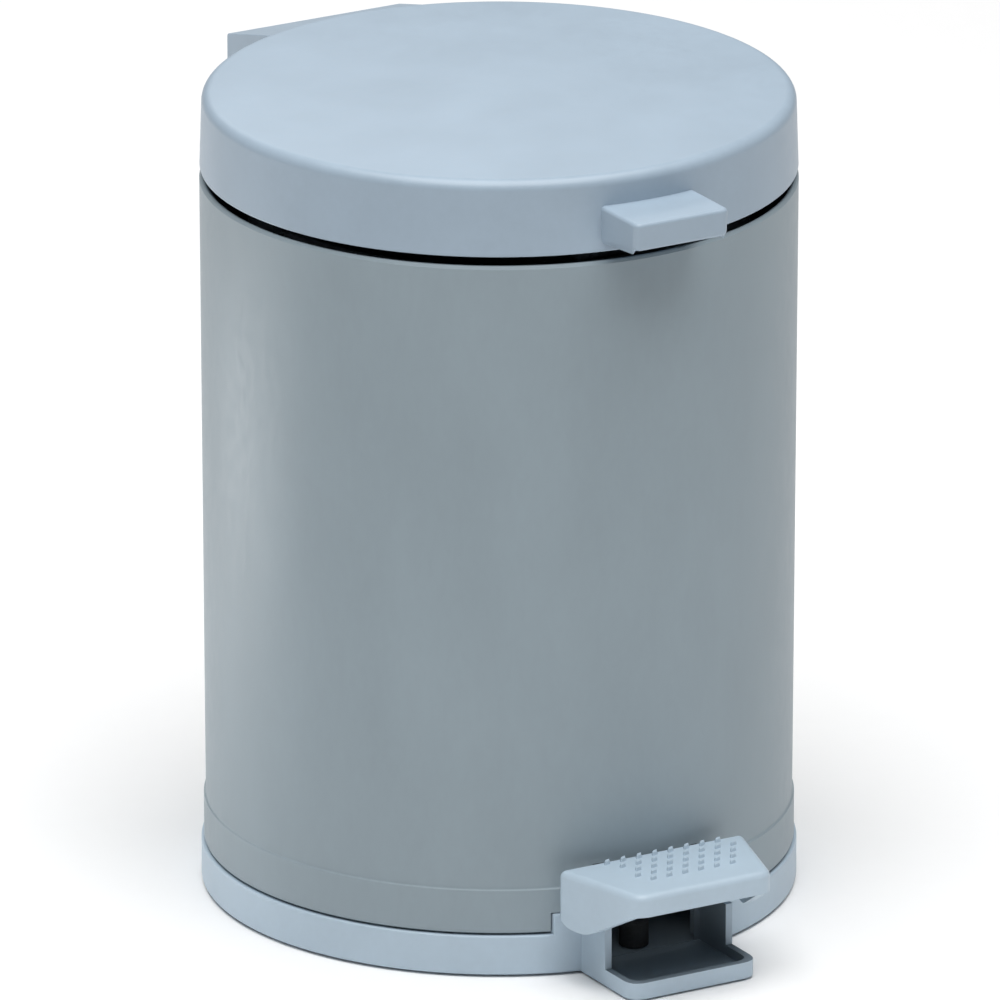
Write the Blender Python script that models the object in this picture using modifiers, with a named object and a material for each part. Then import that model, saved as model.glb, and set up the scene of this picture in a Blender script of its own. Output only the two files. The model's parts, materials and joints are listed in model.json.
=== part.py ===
"""Pedal trash can: a round plastic bin whose pedal lifts the lid through a lever and a push rod.

Metres, +Z up. The origin is on the bin's axis at the floor. The pedal faces -Y, the hinge is at +Y.
"""
import math

import bmesh
import bpy
from mathutils import Matrix, Vector

for old in list(bpy.data.objects):
    bpy.data.objects.remove(old, do_unlink=True)

PARTS = bpy.data.collections.new("pedal_trash_can")
CUTTERS = bpy.data.collections.new("cutters")
for made in (PARTS, CUTTERS):
    bpy.context.scene.collection.children.link(made)
CUTTERS.hide_render = True

# ---- overall ----
BODY_TOP_RADIUS = 0.1000
BODY_TOP = 0.2493
BODY_TAPER = 0.0011          # how much narrower the body is at its band
WALL = 0.0022
GAP = 0.0003                 # between pieces that touch
PIN_PLAY = 0.0001            # radial, round a pin or a screw
OVER = 0.0010                # how far a cutter passes a face, and how deep a joined shape is sunk
EDGE = 0.0005                # chamfer of a moulded edge
ROUND_STEPS = 64             # facets round the large turned pieces
SMALL_STEPS = 16             # facets round pins, screws and holes

# ---- motion ----
LID_OPEN = math.radians(70)
PEDAL_TRAVEL = math.radians(10.5)

# ---- base: ring, floor and foot tray ----
BASE_BOTTOM = 0.0008
BASE_FLOOR = 0.0025
RING_PROUD = 0.0016          # beyond the body's lower radius
RING_WALL = 0.0025
RING_TOP = 0.0146
COWL_HALF = 0.0335
COWL_RISE = 0.0072
TRAY_HALF = 0.0245
TRAY_REACH = 0.0300          # in front of the ring
TRAY_SIDE_REACH = 0.0125
TRAY_SIDE_DROP = 0.0008      # below the cowl's top
TRAY_CORNER = 0.0060
TRAY_RIM = 0.0032            # height above the base's floor
TRAY_WALL = 0.0025

# ---- outer body ----
SPIGOT_PLAY = 0.0004         # radial, inside the base ring
SPIGOT_WALL = 0.0023
SPIGOT_LIFT = 0.0017         # above the base's floor
BAND_GAP = 0.0008            # above the ring
BAND_HEIGHT = 0.0156
BAND_PROUD = 0.0007
BODY_FLOOR = 0.0020
LEVER_OPENING_HALF = 0.0200
LEVER_OPENING_ROOM = 0.0043  # above the lever
FLOOR_ROOM = 0.0060          # from the opening's top to the floor's top

# ---- screws and posts that hold the base to the body ----
SCREW_INSET = 0.0196         # from the spigot's outside
SCREW_ANGLES = (35, 145, 215, 325)
SCREW_RADIUS = 0.0015
SCREW_HEAD_SIDE = 0.0018
SCREW_HEAD = 0.0017
SCREW_LENGTH = 0.0133
BOSS_WALL = 0.0027
BOSS_SEAT = 0.0030
COUNTERBORE = 0.0032
POST_WALL = 0.0030

# ---- anti-slip pads ----
PAD_INSET = 0.0156           # from the spigot's outside
PAD_ANGLES = (60, 120, 240, 300)
PAD_RADIUS = 0.0070
PAD_THICK = 0.0018

# ---- lid ----
LID_GAP = 0.0031             # above the body's rim
LID_HEIGHT = 0.0286
LID_INSET = 0.0001
LID_TAPER = 0.0007
LID_CROWN = 0.0026
LID_FILLET = 0.0038
LIP_HALF = 0.0178
LIP_REACH = 0.0210
LIP_RISE = 0.0158            # its top above the lid's lower edge
LIP_HEIGHT = 0.0097
LIP_ROUND = 0.0016
LIP_WALL = 0.0022

# ---- lid hinge ----
HINGE_RISE = 0.0027          # above the body's rim
HINGE_PIN_RADIUS = 0.0020
HINGE_PIN_HEAD = 0.0022
HINGE_PIN_HEAD_SIDE = 0.0015
RETAINER_THICK = 0.0014
RETAINER_SIDE = 0.0020
BLOCK_HALF = 0.0335
BLOCK_REAR_ROOM = 0.0171     # from the pin to the block's rear
BLOCK_DROP = 0.0128          # its rear top below the lid's top
BLOCK_ROOT = 0.0140          # how far it runs over the lid
BLOCK_SIDE_ROOM = 0.0025     # from the body to the block's sides
BLOCK_WALL = 0.0025
LUG_WALL = 0.0035
LUG_WIDTH = 0.0060
LUG_ROOM = 0.0050            # beside the block's inner face
LUG_FOOT_DROP = 0.0180

# ---- pedal mechanism ----
PIVOT_Y = -0.0260
PIVOT_Z = 0.0210
PIVOT_PIN_RADIUS = 0.0025
LEVER_HALF = 0.0060
LEVER_SHEET = 0.0016
LEVER_SIDE = 0.0020          # sheet left round the lever's two holes
LEVER_DEPTH = 0.0072
LEVER_TOE_ROOM = 0.0112      # behind the pedal's toe
LEVER_FLAT = 0.0140          # level stretch each side of the pivot
EYE_ROOM = 0.0070            # from the ring's inside to the eye
SPACER_THICK = 0.0020
SPACER_SIDE = 0.0020
PIVOT_POST_WIDTH = 0.0050
PIVOT_POST_HALF_LENGTH = 0.0070
PIVOT_POST_WALL = 0.0030
CLIP_THICK = 0.0012
CLIP_SIDE = 0.0025
PIN_END = 0.0012             # of a pin or rod, past its clip or cap
STOP_PAD_ROOM = 0.0080       # from the ring's inside
STOP_PAD_RADIUS = 0.0050
ROD_RADIUS = 0.0015
ROD_SIDE = 0.0055            # from the lever's side to the rod
ROD_BEND = 0.0025
ROD_ROOM = 0.0010            # from the crank's eye to the body's wall
JOGGLE_LOW = 0.0600
JOGGLE_HEIGHT = 0.0160
ROD_CAP_SIDE = 0.0013
ROD_CAP_THICK = 0.0024
CRANK_HALF = 0.0030
CRANK_RIM = 0.0018
CRANK_SLOT_PLAY = 0.0010     # to each side of the hook, for its path across the slot
GUIDE_Z = 0.1500
GUIDE_HALF_HEIGHT = 0.0050
GUIDE_WALL = 0.0035
GUIDE_PLAY = 0.0006

# ---- pedal ----
PEDAL_TOP = 0.0400
PEDAL_SKIN = 0.0028
PEDAL_GAP = 0.0010           # in front of the body's band
PEDAL_LENGTH = 0.0366
PEDAL_REAR_HALF = 0.0358
PEDAL_FRONT_HALF = 0.0256
PEDAL_CORNER = 0.0035
PEDAL_ROUND = 0.0020
CHEEK_REAR_HEIGHT = 0.0160
CHEEK_HEIGHT = 0.0200
CHEEK_LENGTH = 0.0134
FRONT_LIP_HEIGHT = 0.0076
LEVER_DROP = 0.0063          # lever's top below the tread
PEDAL_BOSS_WALL = 0.0021
PEDAL_SCREW_PLACES = {"rear": 0.0074, "front": 0.0204}
NUB_RADIUS = 0.0016
NUB_RISE = 0.0011
NUB_SUNK = 0.0006
NUB_PITCH_X = 0.0061
NUB_PITCH_Y = 0.0050
NUB_ROWS = 5
NUB_BORDER = 0.0030
NUB_LEFT_BORDER = 0.0140
NUB_RIGHT_BORDER = 0.0055

# ---- inner bucket and its bail ----
BUCKET_ROD_ROOM = 0.0075     # from the push rod's line to the rim
BUCKET_RIM_SIDE = 0.0020
BUCKET_TAPER = 0.0060
BUCKET_RIM_DROP = 0.0053     # below the body's rim
BUCKET_RIM = 0.0035
BUCKET_WALL = 0.0018
BUCKET_CORNER = 0.0020
EAR_HALF = 0.0060
EAR_THICK = 0.0031
EAR_WALL = 0.0026
BAIL_RADIUS = 0.0014
GRIP_WALL = 0.0029
GRIP_HALF = 0.0180
GRIP_INSET = 0.0035          # inside the bail's circle

# ---- rim buffers ----
BUFFER_ANGLES = {"left": 130, "right": 50}
BUFFER_HALF = 0.0050
BUFFER_LEG = 0.0055
BUFFER_THICK = 0.0016
BUFFER_INSET = 0.0004

# ---- worked out from the sizes above ----
BODY_LOW_RADIUS = BODY_TOP_RADIUS - BODY_TAPER
BASE_FLOOR_TOP = BASE_BOTTOM + BASE_FLOOR
RING_RADIUS = BODY_LOW_RADIUS + RING_PROUD
RING_INNER = RING_RADIUS - RING_WALL
COWL_TOP = RING_TOP + COWL_RISE
TRAY_FRONT = RING_RADIUS + TRAY_REACH
SPIGOT_RADIUS = RING_INNER - SPIGOT_PLAY
TRAY_REAR = math.sqrt(SPIGOT_RADIUS ** 2 - (TRAY_HALF - TRAY_WALL) ** 2)
BAND_BOTTOM = RING_TOP + BAND_GAP
BAND_TOP = BAND_BOTTOM + BAND_HEIGHT
BAND_RADIUS = BODY_LOW_RADIUS + BAND_PROUD
SCREW_CIRCLE = SPIGOT_RADIUS - SCREW_INSET
SCREW_HEAD_RADIUS = SCREW_RADIUS + SCREW_HEAD_SIDE
COUNTERBORE_TOP = BASE_BOTTOM + COUNTERBORE
BASE_BOSS_TOP = COUNTERBORE_TOP + BOSS_SEAT
PAD_CIRCLE = SPIGOT_RADIUS - PAD_INSET
PEDAL_REAR = BAND_RADIUS + PEDAL_GAP
PEDAL_FRONT = PEDAL_REAR + PEDAL_LENGTH
LEVER_TOP = PEDAL_TOP - LEVER_DROP
LEVER_FRONT = PEDAL_FRONT - LEVER_TOE_ROOM
LEVER_OPENING_TOP = LEVER_TOP + LEVER_OPENING_ROOM
BODY_FLOOR_TOP = LEVER_OPENING_TOP + FLOOR_ROOM
LID_BOTTOM = BODY_TOP + LID_GAP
LID_TOP = LID_BOTTOM + LID_HEIGHT
LID_BOTTOM_RADIUS = BODY_TOP_RADIUS - LID_INSET
LID_TOP_RADIUS = LID_BOTTOM_RADIUS - LID_TAPER
HINGE_Z = BODY_TOP + HINGE_RISE
EYE_RADIUS = ROD_RADIUS + LEVER_SIDE
EYE_Y = RING_INNER - EYE_ROOM
EYE_Z = PIVOT_Z - (EYE_Y - PIVOT_Y) * math.tan(PEDAL_TRAVEL / 2)
ROD_X = LEVER_HALF + ROD_SIDE
ROD_RISE = 2 * (PIVOT_Z - EYE_Z)
ROD_TOP_Y = BODY_TOP_RADIUS - WALL - ROD_ROOM - CRANK_RIM - ROD_RADIUS
ROD_TOP_Z = HINGE_Z - ROD_RISE / 2
CRANK_RADIUS = ROD_RISE / 2 / math.sin(LID_OPEN / 2)
HINGE_Y = ROD_TOP_Y + CRANK_RADIUS * math.cos(LID_OPEN / 2)
LUG_RADIUS = HINGE_PIN_RADIUS + LUG_WALL
BLOCK_REAR = HINGE_Y + BLOCK_REAR_ROOM
BLOCK_REAR_TOP = LID_TOP - BLOCK_DROP
BLOCK_FRONT = BODY_TOP_RADIUS - BLOCK_ROOT
BLOCK_BOTTOM = HINGE_Z - LUG_RADIUS
PIVOT_POST_INNER = LEVER_HALF + 2 * GAP + SPACER_THICK
PIVOT_POST_OUTER = PIVOT_POST_INNER + PIVOT_POST_WIDTH
BUCKET_BOTTOM = BODY_FLOOR_TOP + GAP
BUCKET_RIM_RADIUS = ROD_TOP_Y - BUCKET_ROD_ROOM
BUCKET_TOP_RADIUS = BUCKET_RIM_RADIUS - BUCKET_RIM_SIDE
BUCKET_LOW_RADIUS = BUCKET_TOP_RADIUS - BUCKET_TAPER
BUCKET_RIM_TOP = BODY_TOP - BUCKET_RIM_DROP
EAR_INNER = BUCKET_RIM_RADIUS + OVER / 5
GRIP_RADIUS = BAIL_RADIUS + 2 * PIN_PLAY + GRIP_WALL
BAIL_Z = BUCKET_RIM_TOP + GRIP_RADIUS + GAP
GRIP_Y = -BUCKET_TOP_RADIUS + GRIP_INSET

BODY_GREY = "#8C99A3"
LID_GREY = "#A3B1BD"
BASE_GREY = "#B4C2CD"
BUCKET_GREY = "#70777D"
STEEL = "#B8BABB"
NATURAL = "#CCCDCC"
RUBBER = "#2B2D2F"


# ---------------------------------------------------------------- tools
def linear(hex_colour):
    """An sRGB hex colour as linear red, green, blue and alpha."""
    channels = [int(hex_colour[i:i + 2], 16) / 255 for i in (1, 3, 5)]
    return [c / 12.92 if c < 0.04045 else ((c + 0.055) / 1.055) ** 2.4 for c in channels] + [1.0]


def material(name, hex_colour, roughness, metallic=0.0):
    found = bpy.data.materials.get(name)
    if found:
        return found
    made = bpy.data.materials.new(name)
    made.use_nodes = True
    shader = made.node_tree.nodes["Principled BSDF"]
    shader.inputs["Base Color"].default_value = linear(hex_colour)
    shader.inputs["Roughness"].default_value = roughness
    shader.inputs["Metallic"].default_value = metallic
    made.diffuse_color = linear(hex_colour)
    return made


def body_plastic():
    return material("body_plastic", BODY_GREY, 0.5)


def lid_plastic():
    return material("lid_plastic", LID_GREY, 0.45)


def base_plastic():
    return material("base_plastic", BASE_GREY, 0.45)


def bucket_plastic():
    return material("bucket_plastic", BUCKET_GREY, 0.5)


def steel():
    return material("zinc_plated_steel", STEEL, 0.35, 1.0)


def acetal():
    return material("bush_plastic", NATURAL, 0.4)


def rubber():
    return material("rubber", RUBBER, 0.8)


def put(obj, collection):
    for old in obj.users_collection:
        old.objects.unlink(obj)
    collection.objects.link(obj)
    return obj


def helper(obj):
    """A shape that only cuts or joins others."""
    obj.hide_render = True
    obj.display_type = "WIRE"
    return put(obj, CUTTERS)


def piece(obj, name, finish):
    """A finished piece of the bin."""
    obj.name = name
    obj.data.name = name
    obj.data.materials.clear()
    obj.data.materials.append(finish)
    if obj.type == "MESH":
        obj.data.shade_smooth()
        obj.data.set_sharp_from_angle(angle=math.radians(30))
    return put(obj, PARTS)


def mesh_object(name, shape):
    """An object from a bmesh, with its faces turned outwards."""
    bmesh.ops.recalc_face_normals(shape, faces=shape.faces)
    mesh = bpy.data.meshes.new(name)
    shape.to_mesh(mesh)
    shape.free()
    obj = bpy.data.objects.new(name, mesh)
    bpy.context.scene.collection.objects.link(obj)
    return obj


def box(name, low, high):
    """A box between two opposite corners."""
    low, high = Vector(low), Vector(high)
    shape = bmesh.new()
    sizes = Matrix.Diagonal((*(high - low), 1))
    bmesh.ops.create_cube(shape, size=1, matrix=Matrix.Translation((low + high) / 2) @ sizes)
    return mesh_object(name, shape)


def rod(name, radius, start, end, steps=SMALL_STEPS):
    """A round bar between two points on a line along X or Z."""
    start, end = Vector(start), Vector(end)
    turn = (end - start).to_track_quat("Z", "Y").to_matrix().to_4x4()
    shape = bmesh.new()
    bmesh.ops.create_cone(
        shape, cap_ends=True, segments=steps, radius1=radius, radius2=radius,
        depth=(end - start).length, matrix=Matrix.Translation((start + end) / 2) @ turn,
    )
    return mesh_object(name, shape)


def turned(name, profile, steps=ROUND_STEPS):
    """A profile of (radius, height) points turned round Z; a loop where it stays off the axis."""
    count = len(profile)
    last = count - 1 if profile[0][0] == 0 else count
    mesh = bpy.data.meshes.new(name)
    mesh.from_pydata(
        [(radius, 0, height) for radius, height in profile],
        [(i, (i + 1) % count) for i in range(last)],
        [],
    )
    obj = bpy.data.objects.new(name, mesh)
    bpy.context.scene.collection.objects.link(obj)
    screw = obj.modifiers.new("turn", "SCREW")
    screw.steps = steps
    screw.render_steps = steps
    screw.use_merge_vertices = True
    screw.merge_threshold = 0.00001
    screw.use_smooth_shade = True
    return obj


def as_mesh(obj):
    """A curve made a mesh, with its caps welded."""
    bpy.context.view_layer.update()
    graph = bpy.context.evaluated_depsgraph_get()
    mesh = bpy.data.meshes.new_from_object(obj.evaluated_get(graph))
    shape = bmesh.new()
    shape.from_mesh(mesh)
    bmesh.ops.remove_doubles(shape, verts=shape.verts, dist=0.000001)
    bmesh.ops.recalc_face_normals(shape, faces=shape.faces)
    shape.to_mesh(mesh)
    shape.free()
    made = bpy.data.objects.new(obj.name, mesh)
    made.matrix_world = obj.matrix_world.copy()
    bpy.context.scene.collection.objects.link(made)
    bpy.data.objects.remove(obj)
    return made


def outline(name, points, low, high, across="Z"):
    """A flat outline with a thickness from low to high, along Z (points are x, y) or X (y, z)."""
    curve = bpy.data.curves.new(name, "CURVE")
    curve.dimensions = "2D"
    curve.fill_mode = "BOTH"
    curve.extrude = (high - low) / 2
    spline = curve.splines.new("POLY")
    spline.points.add(len(points) - 1)
    for point, (u, v) in zip(spline.points, points):
        point.co = (u, v, 0, 1)
    spline.use_cyclic_u = True
    obj = bpy.data.objects.new(name, curve)
    middle = (low + high) / 2
    if across == "X":
        stand = Matrix(((0, 0, 1, middle), (1, 0, 0, 0), (0, 1, 0, 0), (0, 0, 0, 1)))
        obj.matrix_world = stand
    else:
        obj.matrix_world = Matrix.Translation((0, 0, middle))
    bpy.context.scene.collection.objects.link(obj)
    return as_mesh(obj)


def wire(name, points, radius):
    """A round wire along a chain of points."""
    curve = bpy.data.curves.new(name, "CURVE")
    curve.dimensions = "3D"
    curve.bevel_depth = radius
    curve.bevel_resolution = 2
    curve.use_fill_caps = True
    spline = curve.splines.new("POLY")
    spline.points.add(len(points) - 1)
    for point, place in zip(spline.points, points):
        point.co = (*place, 1)
    obj = bpy.data.objects.new(name, curve)
    bpy.context.scene.collection.objects.link(obj)
    return obj


def boolean(obj, other, operation):
    made = obj.modifiers.new(f"{operation.lower()} {other.name}", "BOOLEAN")
    made.operation = operation
    made.solver = "EXACT"
    made.object = helper(other)
    return obj


def cut(obj, *others):
    for other in others:
        boolean(obj, other, "DIFFERENCE")
    return obj


def join(obj, *others):
    for other in others:
        boolean(obj, other, "UNION")
    return obj


def keep(obj, other):
    return boolean(obj, other, "INTERSECT")


def arc(centre, radius, first, last, count):
    """Points on an arc, between two angles in degrees."""
    made = []
    for i in range(count + 1):
        angle = math.radians(first + (last - first) * i / count)
        made.append((centre[0] + radius * math.cos(angle), centre[1] + radius * math.sin(angle)))
    return made


def capsule(start, end, radius, count=8):
    """The outline round a line, with half-round ends."""
    aim = math.degrees(math.atan2(end[1] - start[1], end[0] - start[0]))
    return arc(start, radius, aim + 90, aim + 270, count) + arc(end, radius, aim - 90, aim + 90, count)


def around(angle, radius):
    """A place on a circle round the bin's axis; 0 degrees is +X."""
    return radius * math.cos(math.radians(angle)), radius * math.sin(math.radians(angle))


def on_axis(name, place, *objects):
    """An empty on a joint's axis that carries the pieces that turn or slide there."""
    holder = bpy.data.objects.new(name, None)
    holder.location = place
    holder.empty_display_size = 0.02
    PARTS.objects.link(holder)
    bpy.context.view_layer.update()
    for obj in objects:
        obj.parent = holder
        obj.matrix_parent_inverse = holder.matrix_world.inverted()


def ring(name, radius, hole, low, high, y, z):
    """A washer or cap whose axis lies along X."""
    made = rod(name, radius, (low, y, z), (high, y, z))
    return cut(made, rod(f"{name}_hole", hole, (low - OVER, y, z), (high + OVER, y, z)))


# ---------------------------------------------------------------- base
def base():
    """Moulded floor with its ring wall, the raised cowl at the pedal and the foot tray."""
    ring_body = turned("base", [
        (0, BASE_FLOOR_TOP),
        (RING_INNER, BASE_FLOOR_TOP),
        (RING_INNER, COWL_TOP),
        (RING_RADIUS - EDGE, COWL_TOP),
        (RING_RADIUS, COWL_TOP - EDGE),
        (RING_RADIUS, BASE_BOTTOM + 2 * EDGE),
        (RING_RADIUS - 2 * EDGE, BASE_BOTTOM),
        (RING_RADIUS / 2, BASE_BOTTOM),
        (0, BASE_BOTTOM),
    ])
    for number, angle in enumerate(PAD_ANGLES, 1):
        x, y = around(angle, PAD_CIRCLE)
        cut(ring_body, rod(f"pad_pocket_{number}", PAD_RADIUS + GAP, (x, y, -OVER), (x, y, PAD_THICK + GAP)))
    step = turned("ring_step", [
        (RING_INNER - 3 * OVER, COWL_TOP + 3 * OVER),
        (RING_RADIUS + 3 * OVER, COWL_TOP + 3 * OVER),
        (RING_RADIUS + 3 * OVER, RING_TOP),
        (RING_INNER - 3 * OVER, RING_TOP),
    ])
    cut(step, box("cowl_keep", (-COWL_HALF, -RING_RADIUS - 0.02, 0),
                  (COWL_HALF, -RING_RADIUS / 2, COWL_TOP + 0.02)))
    cut(ring_body, step)
    join(
        ring_body,
        outline("tray", tray_outline(0), BASE_BOTTOM, BASE_FLOOR_TOP + TRAY_RIM),
        box("tray_sides", (-TRAY_HALF - PIN_PLAY, -RING_RADIUS - TRAY_SIDE_REACH, BASE_BOTTOM + EDGE),
            (TRAY_HALF + PIN_PLAY, -RING_INNER + 1.5 * OVER, COWL_TOP - TRAY_SIDE_DROP)),
    )
    cut(ring_body, outline("tray_inside", tray_outline(TRAY_WALL), BASE_FLOOR_TOP, COWL_TOP + 0.02))
    for number, angle in enumerate(SCREW_ANGLES, 1):
        x, y = around(angle, SCREW_CIRCLE)
        join(ring_body, rod(f"base_boss_{number}", SCREW_HEAD_RADIUS + BOSS_WALL,
                            (x, y, BASE_BOTTOM + OVER), (x, y, BASE_BOSS_TOP)))
        cut(
            ring_body,
            rod(f"counterbore_{number}", SCREW_HEAD_RADIUS + EDGE, (x, y, -OVER), (x, y, COUNTERBORE_TOP)),
            rod(f"base_hole_{number}", SCREW_RADIUS + GAP, (x, y, 0), (x, y, BASE_BOSS_TOP + 2 * OVER)),
        )
    for side in (-1, 1):
        inner, outer = sorted((side * PIVOT_POST_INNER, side * PIVOT_POST_OUTER))
        join(ring_body, outline(f"pivot_post_{side}", [
            (PIVOT_Y - PIVOT_POST_HALF_LENGTH, BASE_BOTTOM + OVER),
            (PIVOT_Y + PIVOT_POST_HALF_LENGTH, BASE_BOTTOM + OVER),
            *arc((PIVOT_Y, PIVOT_Z), PIVOT_PIN_RADIUS + PIVOT_POST_WALL, 0, 180, 10),
        ], inner, outer, across="X"))
    end = PIVOT_POST_OUTER + OVER
    cut(ring_body, rod("pivot_hole", PIVOT_PIN_RADIUS + PIN_PLAY,
                       (-end, PIVOT_Y, PIVOT_Z), (end, PIVOT_Y, PIVOT_Z)))
    return piece(ring_body, "base", base_plastic())


def tray_outline(inset):
    """Plan of the foot tray, its front corners rounded; inset gives the pocket inside its walls."""
    half = TRAY_HALF - inset
    front = TRAY_FRONT - inset
    corner = TRAY_CORNER - inset / 2
    rear = TRAY_REAR - 2 * inset
    return [
        (-half, -rear),
        *arc((-half + corner, -front + corner), corner, 180, 270, 6),
        *arc((half - corner, -front + corner), corner, 270, 360, 6),
        (half, -rear),
    ]


def base_screws():
    for number, angle in enumerate(SCREW_ANGLES, 1):
        x, y = around(angle, SCREW_CIRCLE)
        seat = COUNTERBORE_TOP - GAP
        shank = rod(f"base_screw_{number}", SCREW_RADIUS, (x, y, seat - EDGE), (x, y, seat + SCREW_LENGTH))
        join(shank, rod(f"screw_head_{number}", SCREW_HEAD_RADIUS, (x, y, seat - SCREW_HEAD), (x, y, seat)))
        piece(shank, f"base_screw_{number}", steel())


def foot_pads():
    for number, angle in enumerate(PAD_ANGLES, 1):
        x, y = around(angle, PAD_CIRCLE)
        piece(rod("pad", PAD_RADIUS, (x, y, 0), (x, y, PAD_THICK)), f"foot_pad_{number}", rubber())


# ---------------------------------------------------------------- outer body
def body_radius(height):
    """Outer radius of the tapered wall above the band."""
    share = (height - BAND_TOP) / (BODY_TOP - BAND_TOP)
    return BODY_LOW_RADIUS + (BODY_TOP_RADIUS - BODY_LOW_RADIUS) * share


def outer_body():
    """Tapered shell with a raised floor, a spigot in the base ring, and the two hinge lugs."""
    spigot_bottom = BASE_FLOOR_TOP + SPIGOT_LIFT
    floor_low = BODY_FLOOR_TOP - BODY_FLOOR
    shell = turned("outer_body", [
        (0, BODY_FLOOR_TOP),
        (body_radius(BODY_FLOOR_TOP) - WALL, BODY_FLOOR_TOP),
        (BODY_TOP_RADIUS - WALL, BODY_TOP - EDGE),
        (BODY_TOP_RADIUS - WALL + EDGE, BODY_TOP),
        (BODY_TOP_RADIUS - EDGE, BODY_TOP),
        (BODY_TOP_RADIUS, BODY_TOP - EDGE),
        (BODY_LOW_RADIUS, BAND_TOP),
        (BAND_RADIUS, BAND_TOP - 1.5 * EDGE),
        (BAND_RADIUS, BAND_BOTTOM + EDGE),
        (BAND_RADIUS - EDGE, BAND_BOTTOM),
        (SPIGOT_RADIUS, BAND_BOTTOM),
        (SPIGOT_RADIUS, spigot_bottom),
        (SPIGOT_RADIUS - SPIGOT_WALL, spigot_bottom),
        (SPIGOT_RADIUS - SPIGOT_WALL, BAND_BOTTOM),
        (BODY_LOW_RADIUS - WALL, BAND_BOTTOM + OVER),
        (BODY_LOW_RADIUS - WALL, floor_low),
        (0, floor_low),
    ])
    cowl_room = turned("cowl_room", [
        (RING_INNER - GAP, COWL_TOP + GAP),
        (RING_RADIUS + 5 * OVER, COWL_TOP + GAP),
        (RING_RADIUS + 5 * OVER, BAND_BOTTOM - 2 * OVER),
        (RING_INNER - GAP, BAND_BOTTOM - 2 * OVER),
    ])
    keep(cowl_room, box("cowl_sector", (-COWL_HALF - 2 * GAP, -RING_RADIUS - 0.02, 0),
                        (COWL_HALF + 2 * GAP, -RING_RADIUS / 2, COWL_TOP + 0.02)))
    lever_front = -SPIGOT_RADIUS + SPIGOT_WALL + 0.010
    slot_half = ROD_RADIUS + 1.5 * OVER
    notch_half = CRANK_HALF + 1.5 * OVER
    cut(
        shell,
        cowl_room,
        box("lever_opening", (-LEVER_OPENING_HALF, -RING_RADIUS - 0.01, 0),
            (LEVER_OPENING_HALF, lever_front, LEVER_OPENING_TOP)),
        box("lever_end_room", (-ROD_X - EYE_RADIUS, EYE_Y - EYE_RADIUS, 0),
            (ROD_X + EYE_RADIUS, RING_INNER + OVER, BAND_BOTTOM - GAP)),
        box("rod_slot", (ROD_X - slot_half - OVER, EYE_Y - slot_half, floor_low - 2 * OVER),
            (ROD_X + slot_half + OVER, EYE_Y + slot_half, BODY_FLOOR_TOP + 2 * OVER)),
        box("crank_notch", (-notch_half, BODY_TOP_RADIUS - WALL - 4 * OVER, HINGE_Z - LUG_FOOT_DROP),
            (notch_half, BODY_TOP_RADIUS + 4 * OVER, BODY_TOP + 10 * OVER)),
    )
    for number, angle in enumerate(SCREW_ANGLES, 1):
        x, y = around(angle, SCREW_CIRCLE)
        join(shell, rod(f"post_{number}", SCREW_RADIUS + POST_WALL, (x, y, BASE_BOSS_TOP + GAP),
                        (x, y, BODY_FLOOR_TOP - BODY_FLOOR / 2)))
        cut(shell, rod(f"post_hole_{number}", SCREW_RADIUS + PIN_PLAY, (x, y, 0),
                       (x, y, COUNTERBORE_TOP + SCREW_LENGTH + 2 * OVER)))
    lug_outer = BLOCK_HALF - BLOCK_WALL - LUG_ROOM
    for side in (-1, 1):
        inner, outer = sorted((side * (lug_outer - LUG_WIDTH), side * lug_outer))
        join(shell, outline(f"lug_{side}", [
            (BODY_TOP_RADIUS - WALL - 2.3 * OVER, HINGE_Z - LUG_FOOT_DROP),
            (BODY_TOP_RADIUS - 2 * OVER, HINGE_Z - LUG_FOOT_DROP),
            *arc((HINGE_Y, HINGE_Z), LUG_RADIUS, -80, 130, 14),
            (BODY_TOP_RADIUS - 2 * OVER, BODY_TOP - GAP),
            (BODY_TOP_RADIUS - WALL - 2.3 * OVER, BODY_TOP - GAP),
        ], inner, outer, across="X"))
    end = lug_outer + OVER
    cut(shell, rod("lug_hole", HINGE_PIN_RADIUS + PIN_PLAY,
                   (-end, HINGE_Y, HINGE_Z), (end, HINGE_Y, HINGE_Z)))
    return piece(shell, "outer_body", body_plastic())


def rim_buffers():
    """Rubber saddles on the body's rim, on which the shut lid rests."""
    for side, angle in BUFFER_ANGLES.items():
        inner = BODY_TOP_RADIUS - WALL - BUFFER_INSET - BUFFER_THICK
        saddle = box("saddle", (inner, -BUFFER_HALF, BODY_TOP + GAP),
                     (BODY_TOP_RADIUS - BUFFER_INSET, BUFFER_HALF, LID_BOTTOM - GAP))
        join(saddle, box(f"saddle_leg_{side}", (inner, -BUFFER_HALF, BODY_TOP - BUFFER_LEG),
                         (inner + BUFFER_THICK, BUFFER_HALF, BODY_TOP + OVER)))
        turn = Matrix.Rotation(math.radians(angle), 4, "Z")
        saddle.matrix_world = turn
        bpy.data.objects[f"saddle_leg_{side}"].matrix_world = turn
        piece(saddle, f"rim_buffer_{side}", rubber())


def rod_guide():
    """Plastic staple on the body's inner wall that keeps the push rod upright."""
    half = ROD_RADIUS + GUIDE_WALL
    wall = body_radius(GUIDE_Z) - WALL
    rear = math.sqrt(wall ** 2 - (ROD_X + half) ** 2) - GAP
    low, high = GUIDE_Z - GUIDE_HALF_HEIGHT, GUIDE_Z + GUIDE_HALF_HEIGHT
    block = box("guide", (ROD_X - half, ROD_TOP_Y - half, low), (ROD_X + half, rear, high))
    slot = ROD_RADIUS + GUIDE_PLAY
    cut(block, box("guide_slot", (ROD_X - slot, ROD_TOP_Y - slot, low - OVER),
                   (ROD_X + slot, rear + OVER, high + OVER)))
    piece(block, "rod_guide", acetal())


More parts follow.
